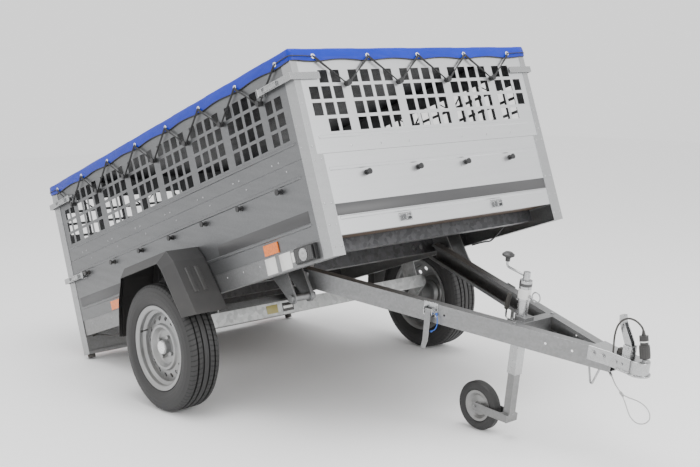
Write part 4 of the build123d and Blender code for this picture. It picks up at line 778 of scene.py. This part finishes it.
def makeEyelets():
    # pressed rings in the hem, their flange outward
    look = {"profile": [(5.2, -0.6), (5.0, 0.9), (6.2, 2.0), (8.6, 1.7), (10.0, 0.5), (10.0, -0.6)],
            "drop": 33.5, "out": 1.9}
    bm = bmesh.new()
    level = tarp["top"] - look["drop"]
    outY = trailer["halfWidth"] + tarp["stand"] + look["out"]
    outX = trailer["halfLength"] + tarp["stand"] + look["out"]
    for x in sideEyelets:
        for side in (-1, 1):
            addLathe(bm, look["profile"], pointing((x, side * outY, level), (0, side, 0)), 24, closed=True)
    for y in endEyelets:
        for end in (-1, 1):
            addLathe(bm, look["profile"], pointing((end * outX, y, level), (end, 0, 0)), 24, closed=True)
    return fromMesh("tarpEyelets", bm, boxMatrix, "eyeletMetal", "box")


tarpSheet, hemRope = makeTarp()
eyelets = makeEyelets()
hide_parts("tarpaulin")
print("tarpaulin made")


def makeLacing():
    # doubled elastic cord from eyelet to hook to eyelet, and one strand round each corner
    look = {"radius": 2.3, "level": 1190.8, "under": 1083 - 6.5 - 2.6, "gap": 2.4, "nearHook": 13.5,
            "atHem": 3.8, "offHem": 9.6, "corner": 8.5}
    level, under = look["level"], look["under"]

    def strand(before, hook, after, k, edge, face):
        # (place along the wall, distance out, height); k is the strand's side of the pair
        near, off = face + look["nearHook"] + k * look["gap"], edge + look["offHem"]
        tall, lean = level + k * 2, k * 3
        return [(before + 1, edge + look["atHem"], level), (before + 3, off, tall - 2),
                (before + 10 + lean, off, tall - 12), (hook - 14 - lean, near, under + 16),
                (hook - 6, near, under + 1), (hook, near, under - 2), (hook + 6, near, under + 1),
                (hook + 14 + lean, near, under + 16), (after - 10 - lean, off, tall - 12),
                (after - 3, off, tall - 2), (after - 1, edge + look["atHem"], level)]

    def pairs(hooks, eyeletsAlong, edge, face):
        return [strand(before, hook, after, k, edge, face)
                for hook, before, after in zip(hooks, eyeletsAlong, eyeletsAlong[1:]) for k in (-1, 1)]

    lines = []
    for side in (-1, 1):
        for path in pairs(trailer["hooksAlong"], sideEyelets, trailer["halfWidth"], trailer["wallFace"]):
            lines.append([(along, side * out, z) for along, out, z in path])
    cornerX, cornerY = (trailer[half] + look["corner"] for half in ("halfLength", "halfWidth"))
    for end in (-1, 1):
        for path in pairs(trailer["hooksAcross"], endEyelets, trailer["halfLength"], trailer["frontFace"]):
            lines.append([(end * out, along, z) for along, out, z in path])
        for side in (-1, 1):
            path = [(sideEyelets[-1] + 1, cornerY - 4, level), (sideEyelets[-1] + 8, cornerY, level + 1),
                    (cornerX - 9, cornerY, level + 4), (cornerX, cornerY - 9, level + 4),
                    (cornerX, endEyelets[-1] + 8, level + 1), (cornerX - 4, endEyelets[-1] + 1, level)]
            lines.append([(end * x, side * y, z) for x, y, z in path])
    lacing = fromPoints("lacing", lines, boxMatrix, look["radius"], "laceRope", "box")
    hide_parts("shock_cord")


makeLacing()
print("lacing made")


def makeStripes():
    # plain dark stripes on the side walls and the front wall
    look = {"low": 583.0, "high": 628.0, "thick": 0.6, "stand": 0.35, "front": 594.0,
            "sides": ((330.0, 968.0), (-980.0, -352.0))}
    bm = bmesh.new()
    middle, tall = (look["low"] + look["high"]) / 2, look["high"] - look["low"]
    for side in (-1, 1):
        for start, stop in look["sides"]:
            addPlate(bm, ((start + stop) / 2, side * (trailer["wallFace"] + look["stand"]), middle),
                     (stop - start, look["thick"], tall), 0.2)
    addPlate(bm, (trailer["frontFace"] + look["stand"], 0, middle),
             (look["thick"], 2 * look["front"], tall), 0.2)
    fromMesh("wallStripes", bm, boxMatrix, "stripeFilm", "box")


def makeLabels():
    # blank labels on the right rail, and a plate and label on the axle beam
    look = {"thick": 0.6, "rail": ((632, 703, 443, 508), (729, 803, 443, 508), (806, 846, 462, 500)),
            "axleFace": 120.4, "axleHeight": 336, "labelY": -300, "plateY": -212}
    bm = bmesh.new()
    face = -(trailer["railFace"] + 0.4)
    for x0, x1, z0, z1 in look["rail"]:
        addPlate(bm, ((x0 + x1) / 2, face, (z0 + z1) / 2), (x1 - x0, look["thick"], z1 - z0), 0.2)
    fromMesh("railLabels", bm, boxMatrix, "labelFilm", "box")
    for name, out, y, wide, tall, film, slotName in (
            ("axleLabel", 0.0, look["labelY"], 62, 38, "khakiFilm", "sheet_zinc"),
            ("axlePlate", 0.0, look["plateY"], 62, 38, "plugPlastic", "black_plastic"),
            ("axlePlateBar", 0.5, look["plateY"], 52, 12, "labelFilm", "sheet_zinc")):
        bm = bmesh.new()
        addPlate(bm, (look["axleFace"] + out, y, look["axleHeight"]), (look["thick"], wide, tall), 0.2)
        fromMesh(name, bm, boxMatrix, film, "box")


def makeLampRings():
    # bright cup seen through each front position lamp
    look = {"cup": [(24, 0.0), (24, 1.2), (19, 1.6), (17, 0.8), (6, 0.5), (2, 2.0)], "stand": 26.2,
            "along": 912.5, "height": 477}
    bm = bmesh.new()
    for side in (-1, 1):
        spot = (look["along"], side * (trailer["railFace"] + look["stand"]), look["height"])
        addLathe(bm, look["cup"], pointing(spot, (0, side, 0)), 24)
    fromMesh("lampRings", bm, boxMatrix, "brightZinc", "box")


def makeRivets():
    # blind rivets and dome screws along posts, seam and rails
    look = {"dome": [(4.2, 0.0), (4.0, 0.8), (3.0, 1.7), (1.4, 2.2)], "pitch": 82.0,
            "low": 470, "lowInsets": (13, 46), "high": 850, "highInsets": (15,), "postSide": 1012.0,
            "hardware": (1118.0, 730.0), "clear": 24, "rearFrom": 560, "pair": 22,
            "overSeam": 841, "underSeam": 797, "underShift": 60, "frontOverSeam": 842,
            "rail": (-900, -700, -520, 350, 470, 590, 1000), "railHeight": 488, "front": (150, 300, 450)}
    lowRun = [look["low"] + look["pitch"] * n for n in range(5)]
    highRun = [look["high"] + look["pitch"] * n for n in range(4)]
    bm = bmesh.new()

    def dome(spot, outward):
        addLathe(bm, look["dome"], pointing(spot, outward), 10)

    def free(end, z):
        # clear of the latches, and above the light beam on the rear posts
        return not (end < 0 and z < look["rearFrom"]) and all(
            abs(z - h) >= look["clear"] for h in look["hardware"])

    for side in (-1, 1):
        for end in (-1, 1):
            for run, insets in ((lowRun, look["lowInsets"]), (highRun, look["highInsets"])):
                for z in (z for z in run if free(end, z)):
                    for inset in insets:
                        dome((end * trailer["halfLength"], side * (trailer["halfWidth"] - inset), z),
                             (end, 0, 0))
            for z in (z for z in lowRun + highRun if free(end, z)):
                dome((end * look["postSide"], side * trailer["halfWidth"], z + 6), (0, side, 0))
        for bar in trailer["hooksAlong"]:
            for shift, z in ((-look["pair"], look["overSeam"]), (look["pair"], look["overSeam"]),
                             (look["underShift"], look["underSeam"])):
                dome((bar + shift, side * trailer["wallFace"], z), (0, side, 0))
        for x in look["rail"]:
            dome((x, side * trailer["railFace"], look["railHeight"]), (0, side, 0))
        for y in look["front"]:
            dome((trailer["frontFace"], side * y, look["frontOverSeam"]), (1, 0, 0))
    fromMesh("wallRivets", bm, boxMatrix, "brightZinc", "box", smooth=60)


def makeGateHooks():
    # rope hooks across the tailgate
    look = {"shape": [(11, 0), (11, 5), (6.5, 5.5), (6.5, 17.5), (11.5, 18), (11.5, 22), (9.0, 24)],
            "height": 733.0, "face": -1060.2}
    bm = bmesh.new()
    for y in trailer["hooksAcross"]:
        addLathe(bm, look["shape"], pointing((look["face"], y, look["height"]), (-1, 0, 0)), 24)
    fromMesh("gateHooks", bm, boxMatrix, "hookPlastic", "tailgate")


def makeFenderRibs():
    # two raised ribs on the front facet of each fender
    look = {"size": (10.0, 26.0, 118.0), "spots": (716.0, 762.0), "foot": (312, 0, 366),
            "top": (222, 0, 602), "up": 158, "stand": 0.4, "round": 4.6}
    along = (Vector(look["top"]) - Vector(look["foot"])).normalized()
    outward = Vector((along.z, 0, -along.x))
    turn = Matrix([[outward[r], (0, 1, 0)[r], along[r]] for r in range(3)]).to_4x4()
    bm = bmesh.new()
    for side in (-1, 1):
        for spot in look["spots"]:
            centre = Vector(look["foot"]) + along * look["up"] + outward * look["stand"]
            centre.y = side * spot
            addBlock(bm, Matrix.Translation(centre) @ turn @ Matrix.Diagonal((*look["size"], 1)),
                     look["round"], segments=4)
    fromMesh("fenderRibs", bm, boxMatrix, "fenderPlastic", "box", smooth=50)


makeStripes()
makeLabels()
makeLampRings()
makeRivets()
makeGateHooks()
makeFenderRibs()
print("trim made")


def makeWheelTrim():
    # centre cap and valve, riding the wheels
    look = {"cap": [(29.5, 40), (29.5, 46), (27, 51.5), (20, 54), (8, 54.6)],
            "valve": [(3.6, 0), (3.6, 10), (2.6, 13), (2.6, 28), (4.0, 28.5), (4.0, 38), (3.2, 39)],
            "valveSpot": (-118, 30, 92), "valveLean": (0.15, -0.12)}
    for side, hand in ((-1, "right"), (1, "left")):
        hub = Vector((0, side * trailer["wheelPlane"], pose["axleHeight"]))
        bm = bmesh.new()
        addLathe(bm, look["cap"], pointing(hub, (0, side, 0)), 32)
        fromMesh("hubCap_" + hand, bm, boxMatrix, "eyeletMetal", "wheel_" + hand)
        bm = bmesh.new()
        x, y, z = look["valveSpot"]
        leanX, leanZ = look["valveLean"]
        addLathe(bm, look["valve"], pointing(hub + Vector((x, side * y, z)), (leanX, side, leanZ)), 14)
        fromMesh("valve_" + hand, bm, boxMatrix, "softRubber", "wheel_" + hand)


def makeJockeyTrim():
    # band and blank label on the screw cover, rubber grip on the clamp lever
    look = {"post": (794, -45, 0), "band": [(23.6, 224), (24.6, 224.4), (24.6, 235.6), (23.6, 236)],
            "label": (176.0, 214.0), "labelRadius": 24.35, "labelFrom": -140, "labelTurn": 170, "steps": 20,
            "grip": [(7.0, -3), (9.0, -1), (9.6, 8), (8.6, 24), (9.4, 42), (8.6, 58), (5.0, 63)],
            "gripFoot": (716, -45, 111), "gripTop": (724, -45, 171)}
    post = Vector(look["post"])
    bm = bmesh.new()
    addLathe(bm, look["band"], Matrix.Translation(post), 40, closed=True)
    fromMesh("coverBand", bm, barMatrix, "stripeFilm", "drawbar")
    bm = bmesh.new()
    radius, rings = look["labelRadius"], []
    for z in look["label"]:
        turns = [math.radians(look["labelFrom"] + look["labelTurn"] * k / look["steps"])
                 for k in range(look["steps"] + 1)]
        rings.append([bm.verts.new(post + Vector((radius * math.cos(a), radius * math.sin(a), z)))
                      for a in turns])
    for k in range(look["steps"]):
        bm.faces.new((rings[0][k], rings[0][k + 1], rings[1][k + 1], rings[1][k]))
    fromMesh("coverLabel", bm, barMatrix, "labelFilm", "drawbar", smooth=180)
    bm = bmesh.new()
    start, stop = Vector(look["gripFoot"]), Vector(look["gripTop"])
    addLathe(bm, look["grip"], pointing(start, stop - start), 28)
    fromMesh("leverGrip", bm, barMatrix, "softRubber", "clamp_lever")


makeWheelTrim()
makeJockeyTrim()
print("wheel and drawbar trim made")


def makeStudio():
    look = {"floor": (0.96, 0.96, 0.96), "air": (1.0, 1.0, 1.0), "airStrength": 1.35}
    bm = bmesh.new()
    bmesh.ops.create_grid(bm, x_segments=2, y_segments=2, size=14.0)
    mesh = bpy.data.meshes.new("floor")
    bm.to_mesh(mesh)
    bm.free()
    floor = bpy.data.objects.new("floor", mesh)
    bpy.context.scene.collection.objects.link(floor)
    material, tree, shader = newMaterial("studioFloor", {"rough": 0.85})
    shader.inputs["Base Color"].default_value = (*look["floor"], 1.0)
    floor.data.materials.append(material)
    world = bpy.data.worlds.new("studioAir")
    bpy.context.scene.world = world
    world.use_nodes = True
    world.node_tree.nodes["Background"].inputs[0].default_value = (*look["air"], 1.0)
    world.node_tree.nodes["Background"].inputs[1].default_value = look["airStrength"]
    # place, aim, size and power
    lamps = {"overhead": ((0.6, -0.4, 5.0), (0.2, 0, 0.5), 3.4, 190.0),
             "ahead": ((5.6, 0.6, 2.6), (0.8, 0.0, 0.8), 2.4, 150.0),
             "beside": ((-1.6, -5.2, 2.8), (-0.2, 0, 0.6), 3.0, 40.0)}
    for name, (place, target, size, power) in lamps.items():
        light = bpy.data.lights.new(name, "AREA")
        light.size, light.energy = size, power
        lamp = bpy.data.objects.new(name, light)
        bpy.context.scene.collection.objects.link(lamp)
        aim = Vector(target) - Vector(place)
        turn = aim.to_track_quat("-Z", "Y").to_matrix().to_4x4()
        lamp.matrix_world = Matrix.Translation(place) @ turn


makeStudio()
print("studio made")

bpy.context.view_layer.update()
